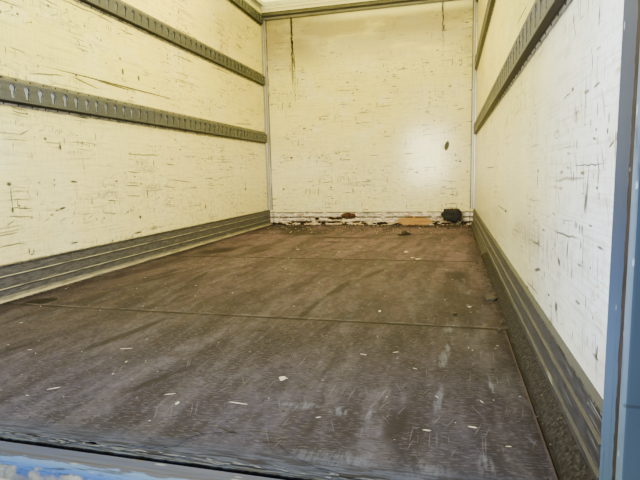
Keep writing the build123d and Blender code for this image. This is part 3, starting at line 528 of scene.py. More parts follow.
def floor_look():
    """Film-faced ply: brown film worn grey at the rear and golden to the front, grained across."""
    look = Look("floor_ply_worn", "yxz", flat=True)
    swept = look.shaken(0.035, 0.40)
    fine = look.shaken(0.006, 0.03)
    look.base(FLOOR_BROWN, rough=0.62, shine=0.07)
    worn = look.cloud((0.9, 0.30), 0.28, 0.62, 1, place=swept)
    towards_front = look.ramp("y", 0.85, 3.3, kind="LINEAR")
    look.coat((towards_front, look.math("MULTIPLY_ADD", worn, 0.45, 0.55)), FLOOR_GOLD)
    for (rear, front), (left, right), colour, share in (
            ((3.5, 1.6), (-0.25, -0.95), FLOOR_BROWN, 0.50), ((2.09, 2.13), (-0.9, 0.5), FLOOR_GOLD, 0.45),
            ((0.95, 0.1), (-0.9, 0.0), FLOOR_GREY, 0.8), ((0.9, 0.5), (0.30, 0.60), FLOOR_DARK, 0.22)):
        look.coat((look.ramp("y", rear, front), look.ramp("x", left, right)), colour, share)
    look.patches((0.9, 0.13), 0.45, 0.58, 2, FLOOR_DARK, 0.48, turn=6, place=swept)
    look.patches((0.7, 0.09), 0.46, 0.62, 3, FLOOR_PALE, 0.26, turn=-4, place=swept)
    look.patches((0.16, 0.10), 0.46, 0.66, 22, FLOOR_DARK, 0.40, detail=4, grit=0.65)
    look.patches((0.05, 0.04), 0.42, 0.66, 4, FLOOR_DARK, 0.42, detail=4, grit=0.75)
    look.patches((0.0030, 0.030), 0.42, 0.62, 5, FLOOR_DARK, 0.42, detail=2, place=fine)
    look.patches((0.0040, 0.018), 0.54, 0.70, 6, FLOOR_PALE, 0.32, detail=2, place=fine)
    look.coat(look.marks(FLOOR_STAINS, swept), FLOOR_DARK, 0.72)
    hazed = look.cloud((0.06, 0.012), 0.34, 0.66, 7, 5, 0.75)
    look.coat((look.marks(FLOOR_HAZE, swept), hazed), (0.14, 0.145, 0.19), 0.34)
    for cell, part, turn, seed in FLOOR_SCRATCHES:
        look.nicks(cell, part, seed, FLOOR_PALE, 0.45, fill=0.30, turn=turn, place=swept)
    look.nicks((0.06, 0.010), 0.08, 15, FLOOR_DARK, 0.8, turn=82, place=swept)
    look.nicks((0.030, 0.026), 0.04, 16, CHALK, 0.7, fill=0.08)
    look.nicks((0.034, 0.030), 0.20, 17, FLOOR_DARK, fill=0.14)
    look.coat(look.marks(FLOOR_MARKS, fine), BLACK_MARK, 0.88)
    dirt = look.cloud((0.05, 0.03), 0.40, 0.54, 8, 5, 0.75)
    look.coat((look.ramp("aside", 0.90, 0.985), dirt), FLOOR_DARK, 0.80)
    first_seam = FIRST_SEAM_Y - EDGE_Y
    rear_sheet = look.ramp("y", first_seam, first_seam - 0.01)
    strip = look.product(rear_sheet, look.ramp("x", REAR_SHEET_X, REAR_SHEET_X + 0.002))
    look.coat(strip, (0.0110, 0.0088, 0.0125), 0.85)
    look.coat((strip, dirt), BLACK_MARK, 0.6)
    look.band("x", REAR_SHEET_X - 0.003, 0.0032, (0.060, 0.038, 0.036), 0.60, rear_sheet)
    look.band("x", REAR_SHEET_X + 0.001, 0.0030, BLACK_MARK, 0.95, rear_sheet)
    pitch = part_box("floor_sheet_second")[1].y - FIRST_SEAM_Y
    chipped = look.cloud((0.014, 0.06), 0.46, 0.56, 9)
    gap = look.highest(look.cloud((0.20, 0.16), 0.34, 0.50, 10), 0.7)
    for seam in (first_seam + 0.001 + number * pitch for number in range(3)):
        look.band("y", seam + 0.018, 0.014, FLOOR_PALE, 0.45, chipped)
        look.band("y", seam, 0.019, BLACK_MARK, 0.97, gap)
    front_dirt = look.cloud((0.05, 0.10), 0.42, 0.54, 21, 4)
    look.coat((look.ramp("y", LOAD_LENGTH - 0.40, LOAD_LENGTH - 0.02), front_dirt), FLOOR_DARK, 0.80)
    rear = look.ramp("y", 0.085, 0.0)
    look.coat(rear, (0.018, 0.023, 0.048), 0.80)
    look.coat((rear, look.cloud((0.005, 0.07), 0.40, 0.56, 18)), (0.070, 0.080, 0.125), 0.40)
    look.coat((rear, look.cloud((0.008, 0.09), 0.48, 0.58, 19)), FLOOR_DARK, 0.85)
    # Below the face the sheet's edge is painted near-black: the ply's dark edge and painted shade in the gap
    # before the sill.
    look.coat(look.ramp("z", -0.0006, -0.0014), PLY_EDGE_DARK_AND_SHADED, rough=0.9)
    return look.done()


def kick_look():
    """Dull aluminium strip: thin bright lines on its lip, ridges and toe, those on the ridges partly polish
    and partly painted highlight, with painted shade beside the ridges and on the right strip's upward faces,
    grimy and specked between them.
    """
    look = Look("kick_alloy_dirty", "yzx", flat=True)
    look.base(ALLOY_DULL, rough=0.50, metal=0.10, shine=0.30)
    right = look.ramp("x", -0.5, 0.5)
    left = look.math("SUBTRACT", 1.0, right)
    look.coat((right, look.ramp("y", 3.6, 0.8, 0.35, 1.0)), (0.0360, 0.0355, 0.0480), 0.92)
    look.patches((0.30, 0.006), 0.42, 0.66, 1, (0.095, 0.092, 0.088), 0.30, detail=2)
    look.patches((0.05, 0.010), 0.44, 0.62, 2, BLACK_MARK, 0.40)
    look.nicks((0.024, 0.007), 0.36, 3, BLACK_MARK, 0.75, fill=0.30)
    look.nicks((0.013, 0.009), 0.30, 4, BROWN_MARK, 0.8, fill=0.26)
    look.nicks((0.16, 0.004), 0.08, 5, ALLOY_BRIGHT, 0.5, turn=2)
    kept = look.cloud((0.14, 0.06), 0.34, 0.56, 6, 2)
    # Ridges: the bright line on the left is partly polish and partly painted highlight; on the right a
    # darker, bluer band is painted shade on the ridge tops facing the warm roof light, and a lighter line
    # above it is a painted highlight; the dark lines below and, on the left, above each ridge are painted
    # shade.
    for ridge in KICK_RIDGES:
        look.band("z", ridge + 0.0010, 0.0022, (0.40, 0.38, 0.32), 0.60, kept, left)
        look.band("z", ridge + 0.0022, 0.0030, (0.017, 0.018, 0.028), 0.88, right)
        look.band("z", ridge + 0.0085, 0.0032, (0.080, 0.082, 0.090), 0.35, kept, right)
        look.band("z", ridge - 0.0055, 0.0035, BLACK_MARK, 0.40)
        look.band("z", ridge + 0.0060, 0.0025, BLACK_MARK, 0.30, left)
    lip = KICK_HIGH.z - FLOOR_Z
    dashes = look.cloud((0.016, 0.020), 0.46, 0.56, 9, 2)
    look.band("z", lip - 0.0085, 0.0035, BLACK_MARK, 0.55)
    look.band("z", lip - 0.0025, 0.0024, (0.20, 0.19, 0.16), 0.75, right)
    look.band("z", lip - 0.0030, 0.0060, BLACK_MARK, 0.80, dashes)
    # The top face is painted dark brown; on the right strip painted shade makes it darker and bluer, against
    # the warm roof light it faces.
    top = look.ramp("z", lip - 0.0012, lip - 0.0004)
    look.coat(top, (0.040, 0.034, 0.024))
    look.coat((right, top), (0.019, 0.020, 0.030), 0.80)
    toe = (look.ramp("z", 0.0165, 0.0120), look.ramp("z", 0.0035, 0.0055))
    look.coat((*toe, left, look.cloud((0.16, 0.008), 0.32, 0.54, 7)), (0.25, 0.21, 0.15), 0.85)
    look.coat((right, look.ramp("z", 0.0240, 0.0200)), (0.022, 0.020, 0.021), rough=0.8)
    look.coat((look.ramp("z", 0.0060, 0.0020), dashes), BLACK_MARK, 0.8)
    return look.done()


def galvanised_look(name, base, pale, rough, rusty=False):
    """Zinc spangle with dust, dull streaks, a few dark nicks and, on the doors' gear, rust."""
    look = Look(name, "yzx")
    look.base(base, rough=rough, metal=0.25, shine=0.35)
    spangle = look.add("TexVoronoi", {"Vector": look.mapped((0.014, 0.012, 0.012)), "Scale": 1.0})
    grey = look.add("SeparateColor", {"Color": spangle.outputs["Color"]}).outputs["Red"]
    look.coat(look.ramp(grey, 0.55, 1.0), pale, 0.22)
    look.patches((0.16, 0.05, 0.05), 0.42, 0.72, 1, BROWN_MARK, 0.35, rough=0.7, detail=5)
    look.patches((0.30, 0.005, 0.01), 0.52, 0.78, 2, pale, 0.35)
    look.nicks((0.06, 0.008), 0.06, 3, BLACK_MARK, 0.6)
    look.nicks((0.04, 0.005), 0.06, 4, pale, 0.8, turn=14)
    if rusty:
        look.patches((0.05, 0.05, 0.05), 0.60, 0.72, 7, RUST, 0.85, rough=0.8, detail=6)
    return look.done()


def lash_look(row):
    """A keyhole rail: plain dull face, painted shade under its lower fold and along its upper root, flanges
    dusted like the wall.
    """
    look = Look(f"lash_steel_{row}", "yzx", flat=True)
    look.base(GALVANISED, rough=0.50, metal=0.20, shine=0.30)
    look.patches((0.014, 0.05), 0.40, 0.66, 1, (0.072, 0.068, 0.078), 0.60, detail=2)
    look.patches((0.30, 0.005), 0.48, 0.72, 2, GALVANISED_PALE, 0.35, detail=2)
    look.patches((0.10, 0.03), 0.50, 0.70, 3, BROWN_MARK, 0.22)
    look.nicks((0.06, 0.020), 0.12, 4, BROWN_MARK, 0.7, fill=0.20)
    look.nicks((0.04, 0.005), 0.08, 5, GALVANISED_PALE, 0.8, turn=14)
    low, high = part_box(f"lash_rail_{row}_left")
    middle = (low.z + high.z) / 2 - FLOOR_Z
    fold, root, rim = RAIL_FACE_HALF - 0.001, RAIL_ROOT_HALF + 0.0015, (high.z - low.z) / 2 - 0.001
    dust = look.cloud((0.06, 0.02), 0.25, 0.60, 6, 2)
    for side, colour in ((-1, (0.25, 0.235, 0.23)), (1, (0.20, 0.19, 0.14))):
        look.band("z", middle + side * fold, 0.0026, GALVANISED_PALE, 0.45)
        look.coat((look.ramp("z", middle + side * root, middle + side * (root + 0.0025)), dust), colour, 0.85)
        look.band("z", middle + side * rim, 0.0022, BROWN_MARK, 0.55)
    # Painted shade: black under the lower fold, and a dark line where the upper leg meets its flange.
    shade_under_fold = look.ramp("z", middle - fold, middle - fold - 0.0015)
    look.coat((shade_under_fold, look.ramp("z", middle - root - 0.0040, middle - root - 0.0015)), BLACK_MARK, 0.90)
    look.band("z", middle + root, 0.0035, (0.035, 0.033, 0.026), 0.8)
    return look.done()


def trim_look():
    """Angles up the bulkhead's corners: bright drawn metal between dirty joints."""
    look = Look("trim_alloy_dull", "zxy", flat=True)
    look.base((0.34, 0.31, 0.25), rough=0.34, metal=0.25)
    look.patches((0.35, 0.004), 0.42, 0.66, 1, (0.58, 0.55, 0.47), 0.6, detail=2)
    uneven = look.cloud((0.20, 0.05), 0.28, 0.46, 2)
    look.coat((look.ramp("aside", INNER_X - 0.0325, INNER_X - 0.0345), uneven), BLACK_MARK, 0.90)
    look.band("aside", INNER_X - 0.0160, 0.0045, BROWN_MARK, 0.75)
    look.band("aside", INNER_X - 0.0075, 0.0045, (0.82, 0.80, 0.72), 0.8, rough=0.20, metal=0.6)
    look.coat((look.ramp("aside", INNER_X - 0.0035, INNER_X - 0.0020), uneven), BROWN_MARK, 0.75)
    look.nicks((0.03, 0.010), 0.10, 3, BLACK_MARK, 0.7)
    return look.done()


def rail_alloy_look():
    """Mill aluminium with draw lines, white bloom and grime."""
    look = Look("rail_alloy_weathered", "yzx")
    look.base(ALLOY_CLEAN, rough=0.34, metal=0.75)
    look.patches((0.5, 0.004, 0.004), 0.45, 0.75, 1, (0.30, 0.30, 0.29), 0.35, rough=0.42)
    look.patches((0.09, 0.05, 0.06), 0.50, 0.74, 2, GREY_FILM, 0.40, rough=0.6, metal=0.3, detail=5)
    look.patches((0.20, 0.03, 0.03), 0.46, 0.72, 3, BROWN_MARK, 0.25, detail=5)
    look.nicks((0.05, 0.004), 0.08, 4, ALLOY_BRIGHT, 0.8, turn=6)
    look.nicks((0.02, 0.012), 0.08, 5, BLACK_MARK, 0.7, fill=0.2)
    return look.done()


def header_look():
    """Stepped rail under the roof: grey lip, dark groove, grey face, black dashes, and a crown painted
    sunlit.
    """
    look = Look("header_alloy", "xzy", flat=True)
    look.base((0.072, 0.068, 0.050), rough=0.42, metal=0.2)
    look.patches((0.30, 0.006), 0.45, 0.70, 1, (0.15, 0.14, 0.10), 0.5, detail=2)
    low = HEADER_LOW.z - FLOOR_Z
    look.coat(look.ramp("z", low + 0.021, low + 0.018), (0.150, 0.140, 0.125), 0.9, rough=0.40)
    look.band("z", low + 0.003, 0.004, BROWN_MARK, 0.7)
    look.band("z", low + 0.031, 0.0125, BROWN_MARK, 0.92, rough=0.8)
    look.patches((0.15, 0.03), 0.48, 0.72, 2, BROWN_MARK, 0.40)
    dashes = look.cloud((0.016, 0.05), 0.40, 0.54, 3, 2)
    look.band("z", low + 0.063, 0.006, BLACK_MARK, 0.95, dashes)
    look.coat(look.ramp("z", low + 0.069, low + 0.073), (0.88, 0.82, 0.46), rough=0.5, metal=0.0)
    look.band("z", low + 0.088, 0.004, (0.30, 0.25, 0.10), 0.7, dashes)
    look.nicks((0.06, 0.010), 0.12, 4, BLACK_MARK, 0.6, fill=0.25)
    return look.done()


def post_look():
    """Blue-grey paint on folded steel: painted sky light towards the foot, a painted sky reflection on the
    rear face, a light edge that is a painted highlight, rust inside the rear fold, chips and runs.
    """
    look = Look("frame_paint_chipped", "zyx")
    look.base(POST_BLUE, rough=0.50, shine=0.25)
    look.patches((0.22, 0.02, 0.03), 0.42, 0.70, 1, (0.023, 0.039, 0.078), 0.45)
    # Painted sky light: lighter and bluer towards the foot.
    look.coat(look.ramp("z", 0.50, 0.02), (0.085, 0.145, 0.270), 0.75)
    look.patches((0.35, 0.006, 0.01), 0.50, 0.74, 2, (0.018, 0.028, 0.042), 0.45, detail=2)
    rear = POST_LOW.y - EDGE_Y
    # Painted sky reflection: the rear face lighter blue.
    face = look.ramp("y", rear + 0.0012, rear + 0.0002)
    look.coat(face, (0.040, 0.068, 0.115), 0.85)
    # Painted highlight: a light band along the rounded rear edge, with bright flecks.
    edge = look.product(look.ramp("y", rear + 0.0105, rear + 0.0090), look.ramp(face, 0.5, 0.2))
    look.coat((edge, look.cloud((0.10, 0.02, 0.02), 0.26, 0.50, 9)), POST_EDGE_HIGHLIGHT, 0.9, rough=0.40)
    look.coat((edge, look.strokes((0.030, 0.004), 0.22, 10, fill=0.40)), (0.50, 0.60, 0.72), 0.9)
    ragged = look.math("ADD", "y", look.product(look.cloud((0.03, 0.05, 0.05), 0.3, 0.7, 3), 0.004))
    fold = look.product(look.ramp(ragged, rear + 0.0260, rear + 0.0235),
                        look.ramp("y", rear + 0.0085, rear + 0.0105))
    look.coat(fold, (0.016, 0.0085, 0.0110), 0.94, rough=0.88)
    eaten = look.cloud((0.06, 0.006, 0.01), 0.40, 0.60, 4)
    look.band("y", rear + 0.0150, 0.0060, (0.050, 0.028, 0.030), 0.6, fold, eaten)
    look.coat((fold, look.cloud((0.04, 0.01, 0.01), 0.50, 0.66, 5)), BLACK_MARK, 0.7)
    look.nicks((0.09, 0.020), 0.12, 5, (0.50, 0.58, 0.64), 0.85, fill=0.10)
    look.nicks((0.020, 0.012), 0.06, 6, BLACK_MARK, 0.6, fill=0.22)
    look.nicks((0.05, 0.02), 0.03, 7, RUST, 0.6, rough=0.85, fill=0.3)
    return look.done()


def sill_look():
    """Steel sill: dull blue-grey tread, rust line, nose polished by loads and lit by the sky, dirty below."""
    look = Look("sill_steel_worn", "xyz", flat=True)
    look.base(SILL_GREY, rough=0.50, metal=0.1, shine=0.3)
    look.patches((0.30, 0.012), 0.42, 0.68, 1, (0.034, 0.044, 0.110), 0.6)
    look.patches((0.12, 0.006), 0.48, 0.70, 2, (0.0060, 0.0120, 0.0450), 0.6, detail=2)
    rusting = look.cloud((0.10, 0.01), 0.34, 0.6, 3)
    look.band("y", -0.0465, 0.0050, (0.045, 0.031, 0.034), 0.65, rusting, rough=0.8)
    ragged = look.math("ADD", "y", look.product(look.cloud((0.05, 0.02), 0.25, 0.75, 8), 0.012))
    nose = (look.ramp(ragged, -0.045, -0.050), look.ramp(ragged, -0.078, -0.068))
    look.coat((*nose, look.cloud((0.12, 0.010), 0.32, 0.50, 4, 4, 0.7)), SILL_SKY, rough=0.36, metal=0.2)
    look.coat((look.ramp("x", -0.60, -0.90), look.ramp("y", -0.068, -0.080)), (0.16, 0.16, 0.16), 0.7)
    below = look.ramp(ragged, -0.070, -0.078)
    look.coat(below, (0.44, 0.43, 0.40), 0.88, rough=0.6)
    look.coat((below, look.cloud((0.06, 0.02), 0.42, 0.60, 5, 5)), (0.110, 0.115, 0.120), 0.70)
    look.nicks((0.05, 0.010), 0.16, 6, (0.26, 0.29, 0.33), 0.6)
    look.nicks((0.04, 0.012), 0.10, 7, BROWN_MARK, 0.8)
    return look.done()


def roof_look():
    """Ribbed translucent sheet, yellowed, with dust lying in streaks; its underside glows yellow towards the
    front, a painted glow standing in for daylight through the sheet.
    """
    look = Look("roof_sheet_yellowed", "xyz")
    look.base(ROOF_TINT, rough=0.36)
    ribs = look.math("SINE", look.product("x", 2 * math.pi / ROOF_RIB_PITCH))
    look.coat(look.ramp(ribs, -1.0, 1.0), relief=0.0012)
    look.patches((0.04, 0.6, 0.6), 0.42, 0.75, 1, (0.55, 0.47, 0.26), 0.5, rough=0.6, detail=4)
    look.patches((0.3, 0.3, 0.3), 0.50, 0.72, 2, ROAD_DIRT, 0.35, detail=5)
    under = SHEET_LOW.z - FLOOR_Z
    underside = look.ramp("z", under + 0.0012, under + 0.0008)
    # Painted light: the underside glows yellow towards the front, as daylight through the sheet.
    glow = look.product(underside, look.ramp("y", 3.3, 3.6), ROOF_GLOW_STRENGTH)
    look.feed(look.shader.inputs["Transmission Weight"], 0.12)
    look.feed(look.shader.inputs["Emission Color"], ROOF_GLOW)
    look.feed(look.shader.inputs["Emission Strength"], glow)
    return look.done()


def black_look():
    """Black chassis paint under road dust, rusting at its edges."""
    look = Look("underframe_black", "yzx")
    look.base(BLACK_PAINT, rough=0.42)
    look.patches((0.20, 0.06, 0.06), 0.40, 0.75, 1, ROAD_DIRT, 0.45, rough=0.8, detail=5)
    look.patches((0.05, 0.02, 0.03), 0.58, 0.70, 2, RUST, 0.9, rough=0.9, detail=6)
    look.nicks((0.04, 0.010), 0.06, 3, ZINC, 0.5)
    return look.done()


def rail_back_lit_look():
    """Inner faces of the rails, painted pale as light seen behind their keyholes."""
    look = Look("lash_steel_back_painted_light", "yzx", flat=True)
    look.base((0.62, 0.61, 0.72), rough=0.60)
    look.patches((0.05, 0.03), 0.45, 0.70, 1, GREY_FILM, 0.5)
    return look.done()


def hole_rim_look():
    """Near-black rims of the keyholes, painted shade in their turned-in collars, and the rails' rivets."""
    look = Look("lash_hole_rims", "yzx", flat=True)
    look.base((0.010, 0.010, 0.010), rough=0.75, shine=0.15)
    look.patches((0.012, 0.012), 0.54, 0.70, 1, (0.050, 0.045, 0.038), 0.6)
    return look.done()


def rubber_look():
    """Door seals: black rubber, a little dusty and scored."""
    look = Look("seal_rubber", "yzx")
    look.base(RUBBER, rough=0.62)
    look.patches((0.10, 0.10, 0.10), 0.45, 0.75, 1, ROAD_DIRT, 0.25, rough=0.8, detail=5)
    look.coat(look.strokes((0.03, 0.004), 0.10, 2), (0.05, 0.05, 0.05), relief=-0.0002)
    return look.done()


def lip_look():
    """Frayed rear edge of the floor: grey fibres over dark ones, painted shade below."""
    look = Look("floor_edge_frayed", "yxz", flat=True)
    look.base((0.024, 0.028, 0.046), rough=0.75, shine=0.15)
    look.patches((0.004, 0.09), 0.42, 0.58, 1, (0.085, 0.095, 0.125), 0.55)
    look.patches((0.003, 0.05), 0.46, 0.60, 2, BLACK_MARK, 0.8)
    # Painted shade: the lip's underside black.
    look.coat(look.ramp("z", -0.003, -0.006), BLACK_MARK, 0.9)
    return look.done()


def dirt_look():
    """Grit: black and grey grains, a few of them pale."""
    look = Look("dirt_bank", "yxz", flat=True)
    look.base((0.016, 0.013, 0.014), rough=0.95, shine=0.1)
    look.patches((0.012, 0.008), 0.42, 0.62, 1, BLACK_MARK, 0.75, grit=0.7)
    look.patches((0.008, 0.006), 0.52, 0.66, 2, (0.038, 0.034, 0.032), 0.6)
    look.nicks((0.010, 0.008), 0.25, 3, BLACK_MARK, 0.9, fill=0.28)
    look.nicks((0.014, 0.010), 0.12, 4, (0.10, 0.085, 0.065), 0.8, fill=0.22)
    return look.done()


def chip_look(name, colour, dark):
    """Broken bits of one colour, streaked with a dark one."""
    look = Look(name, "xyz")
    look.base(colour, rough=0.8, shine=0.2)
    look.patches((0.012, 0.003, 0.003), 0.40, 0.62, 1, dark, 0.7)
    look.patches((0.004, 0.004, 0.004), 0.45, 0.65, 2, tuple(0.6 * part for part in colour), 0.6)
    return look.done()


def dress_nodes():
    """Give every CAD node its material."""
    looks = {
        "side_wall_left": wall_look("liner_left", LEFT),
        "side_wall_right": wall_look("liner_right", RIGHT, bleached_and_daylit=True),
        "bulkhead_board": bulkhead_look(),
        "bulkhead_lower_band": lower_band_look(),
        "bulkhead_skin": panel_look("skin_bulkhead", "xzy"),
        "bulkhead_header_rail": header_look(),
        "door_panel": panel_look("skin_door", "yzx"),
        "floor": floor_look(),
        "kick_strip": kick_look(),
        "corner_trim": trim_look(),
        "bottom_rail": rail_alloy_look(),
        "rear_post": post_look(),
        "rear_sill": sill_look(),
        "runner": black_look(),
        "cross_bearers": galvanised_look("bearer_galvanised", (0.30, 0.31, 0.30), (0.46, 0.47, 0.46), 0.5),
        "roof_sheet": roof_look(),
        "hinge_brackets": galvanised_look("gear_zinc", ZINC, (0.60, 0.61, 0.61), 0.38, rusty=True)}
    looks.update({f"lash_rail_{row}": lash_look(row) for row in ROWS})
    for name, others in (
            ("bottom_rail", ("cant_rail", "front_top_rail", "front_corner_post", "roof_bows", "door_frame")),
            ("rear_post", ("rear_header",)),
            ("hinge_brackets", ("lock_keepers", "door_straps", "locking_gear"))):
        looks.update(dict.fromkeys(others, looks[name]))
    for node_name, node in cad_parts.items():
        start = max((name for name in looks if node_name.startswith(name)), key=len)
        node.data.materials.clear()
        node.data.materials.append(looks[start])
    return looks


# Shapes
def make_piece(name, bm, look, body="box", smooth_angle=None):
    """Turn a bmesh into a piece that rides on a body."""
    bmesh.ops.recalc_face_normals(bm, faces=bm.faces)
    mesh = bpy.data.meshes.new(name)
    bm.to_mesh(mesh)
    bm.free()
    mesh.materials.append(look)
    if smooth_angle:
        mesh.polygons.foreach_set("use_smooth", [True] * len(mesh.polygons))
        mesh.set_sharp_from_angle(angle=math.radians(smooth_angle))
    piece = bpy.data.objects.new(name, mesh)
    bpy.context.scene.collection.objects.link(piece)
    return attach(piece, body)


def bands(bm, loops, around=True, shut=False):
    """Faces between each loop and the next, and if shut also between the last and the first. Around says
    that each loop closes on itself."""
    count = len(loops[0])
    for here, there in zip(loops, loops[1:] + (loops[:1] if shut else [])):
        for i in range(count if around else count - 1):
            j = (i + 1) % count
            bm.faces.new((here[i], here[j], there[j], there[i]))


def prism(bm, ring, offset):
    """Closed solid between a ring of points and the same ring moved by offset."""
    near = [bm.verts.new(point) for point in ring]
    far = [bm.verts.new(Vector(point) + Vector(offset)) for point in ring]
    bm.faces.new(near)
    bm.faces.new(far[::-1])
    bands(bm, [near, far])


def thin_sheet(bm, upper, lower, kept=lambda i, j: True):
    """Closed sheet between two grids of points, less the cells that aren't kept."""
    upper, lower = ([[bm.verts.new(point) for point in line] for line in grid] for grid in (upper, lower))
    for i in range(len(upper) - 1):
        for j in range(len(upper[0]) - 1):
            if kept(i, j):
                bm.faces.new((upper[i][j], upper[i + 1][j], upper[i + 1][j + 1], upper[i][j + 1]))
                bm.faces.new((lower[i][j], lower[i][j + 1], lower[i + 1][j + 1], lower[i + 1][j]))
    below = {high: low for highs, lows in zip(upper, lower) for high, low in zip(highs, lows)}
    for edge in [edge for edge in bm.edges if len(edge.link_faces) == 1]:
        a, b = edge.verts
        if a in below and b in below:
            bm.faces.new((a, b, below[b], below[a]))


DOME_SIDES = 8


def dome(bm, place, normal, radius, height):
    """Low round head with its flat back on a surface."""
    normal = Vector(normal)
    side = normal.orthogonal().normalized()
    other = normal.cross(side)
    rings = []
    for share, rise in ((1.0, 0.0), (0.92, 0.45), (0.55, 0.9)):
        ring = []
        for i in range(DOME_SIDES):
            angle = math.tau * i / DOME_SIDES
            reach = side * math.cos(angle) + other * math.sin(angle)
            ring.append(bm.verts.new(Vector(place) + reach * radius * share + normal * height * rise))
        rings.append(ring)
    bm.faces.new(rings[0])
    bm.faces.new(rings[-1])
    bands(bm, rings)


def spaced(start, end, step):
    """Even places from start to end, about a step apart."""
    count = max(1, round((end - start) / step))
    return [start + (end - start) * i / count for i in range(count + 1)]


def domes(name, places, normal, head, look, body="box"):
    """Heads of one radius and height at these places, as one piece."""
    bm = bmesh.new()
    for place in places:
        dome(bm, place, normal, *head)
    return make_piece(name, bm, look, body, smooth_angle=50)


# Lashing rails, as rolled: keyholed face with bevelled holes, and two folded legs
def keyhole_ring(along):
    """Round head over a tapering slot, as points along and up from the rail's middle."""
    low = -KEYHOLE_HALF
    head = KEYHOLE_HALF - KEYHOLE_HEAD_R
    points = [(-KEYHOLE_SLOT_HALF, low + SLOT_END_R), (-KEYHOLE_SLOT_HALF + SLOT_END_R, low),
              (KEYHOLE_SLOT_HALF - SLOT_END_R, low), (KEYHOLE_SLOT_HALF, low + SLOT_END_R)]
    sweep = math.pi - 2 * KEYHOLE_NECK
    for i in range(KEYHOLE_STEPS + 1):
        angle = KEYHOLE_NECK + sweep * i / KEYHOLE_STEPS
        points.append((KEYHOLE_HEAD_R * math.cos(angle), head + KEYHOLE_HEAD_R * math.sin(angle)))
    return [(along + a, b) for a, b in points]


def slot_ring(along):
    """Straight slot with round ends."""
    points = []
    steps = KEYHOLE_STEPS // 2
    for end, start in ((-1, math.pi), (1, 0.0)):
        for i in range(steps + 1):
            angle = math.pi * (i / steps) + start
            points.append((along + KEYHOLE_SLOT_HALF * math.cos(angle),
                           end * (KEYHOLE_HALF - KEYHOLE_SLOT_HALF) + KEYHOLE_SLOT_HALF * math.sin(angle)))
    return points


def rail_face(bm, side, z, y0, y1, front_x, hole_ring):
    """Flat face of a rail, its holes cut and their edges eased, from a filled curve."""
    half = RAIL_FACE_HALF - RAIL_FOLD_R
    flat = bpy.data.curves.new("rail_face", "CURVE")
    flat.dimensions = "2D"
    flat.fill_mode = "BOTH"
    flat.extrude = RAIL_T / 2 - HOLE_BEVEL
    flat.bevel_depth = HOLE_BEVEL
    flat.bevel_resolution = 0
    flat.offset = -HOLE_BEVEL
    rings = [[(y0, -half), (y1, -half), (y1, half), (y0, half)]]
    along = EDGE_Y + KEYHOLE_FIRST
    while along < y1 - KEYHOLE_HALF:
        rings.append(hole_ring(along))
        along += KEYHOLE_PITCH
    for ring in rings:
        spline = flat.splines.new("POLY")
        spline.points.add(len(ring) - 1)
        for point, (a, b) in zip(spline.points, ring):
            point.co = (a, b, 0.0, 1.0)
        spline.use_cyclic_u = True
    holder = bpy.data.objects.new("rail_face", flat)
    cut = bpy.data.meshes.new_from_object(holder)
    middle = front_x - side * RAIL_T / 2
    start = len(bm.verts)
    bm.from_mesh(cut)
    bm.verts.ensure_lookup_table()
    for vert in bm.verts[start:]:
        along, up, through = vert.co
        vert.co = (middle + through, along, z + up)
    bpy.data.objects.remove(holder)
    bpy.data.meshes.remove(cut)
    bpy.data.curves.remove(flat)
    for ring in rings[1:]:
        turned_in_rim(bm, side, z, front_x, ring)


def turned_in_rim(bm, side, z, front_x, ring):
    """Thin collar round a hole, pressed in from the face's back."""
    middle = Vector((sum(a for a, _ in ring) / len(ring), sum(b for _, b in ring) / len(ring)))
    loops = []
    deep = RAIL_T + RIM_DEPTH
    for depth, out in ((RAIL_T, 0.0), (deep, 0.0), (deep, RIM_T), (RAIL_T, RIM_T)):
        loop = []
        for place in ring:
            reach = Vector(place) - middle
            point = middle + reach * (1.0 + out / reach.length)
            loop.append(bm.verts.new((front_x + side * depth, point.x, z + point.y)))
        loops.append(loop)
    bands(bm, loops, shut=True)


def bent_strip(points, radius, steps=4):
    """Points of a folded line, each inner corner rounded by an arc."""
    path = [Vector(points[0])]
    for before, corner, after in zip(points, points[1:], points[2:]):
        corner = Vector(corner)
        to_before = (Vector(before) - corner).normalized()
        to_after = (Vector(after) - corner).normalized()
        half = to_before.angle(to_after) / 2
        reach = radius / math.tan(half)
        centre = corner + (to_before + to_after).normalized() * (radius / math.sin(half))
        first = corner + to_before * reach - centre
        last = corner + to_after * reach - centre
        for i in range(steps + 1):
            path.append(centre + first.lerp(last, i / steps).normalized() * radius)
    path.append(Vector(points[-1]))
    return path


def thickened(path, thickness):
    """Closed ring of a sheet of this thickness about a line."""
    left, right = [], []
    for i, point in enumerate(path):
        ahead = path[min(i + 1, len(path) - 1)] - path[max(i - 1, 0)]
        normal = Vector((-ahead.y, ahead.x)).normalized() * thickness / 2
        left.append(point + normal)
        right.append(point - normal)
    return left + right[::-1]


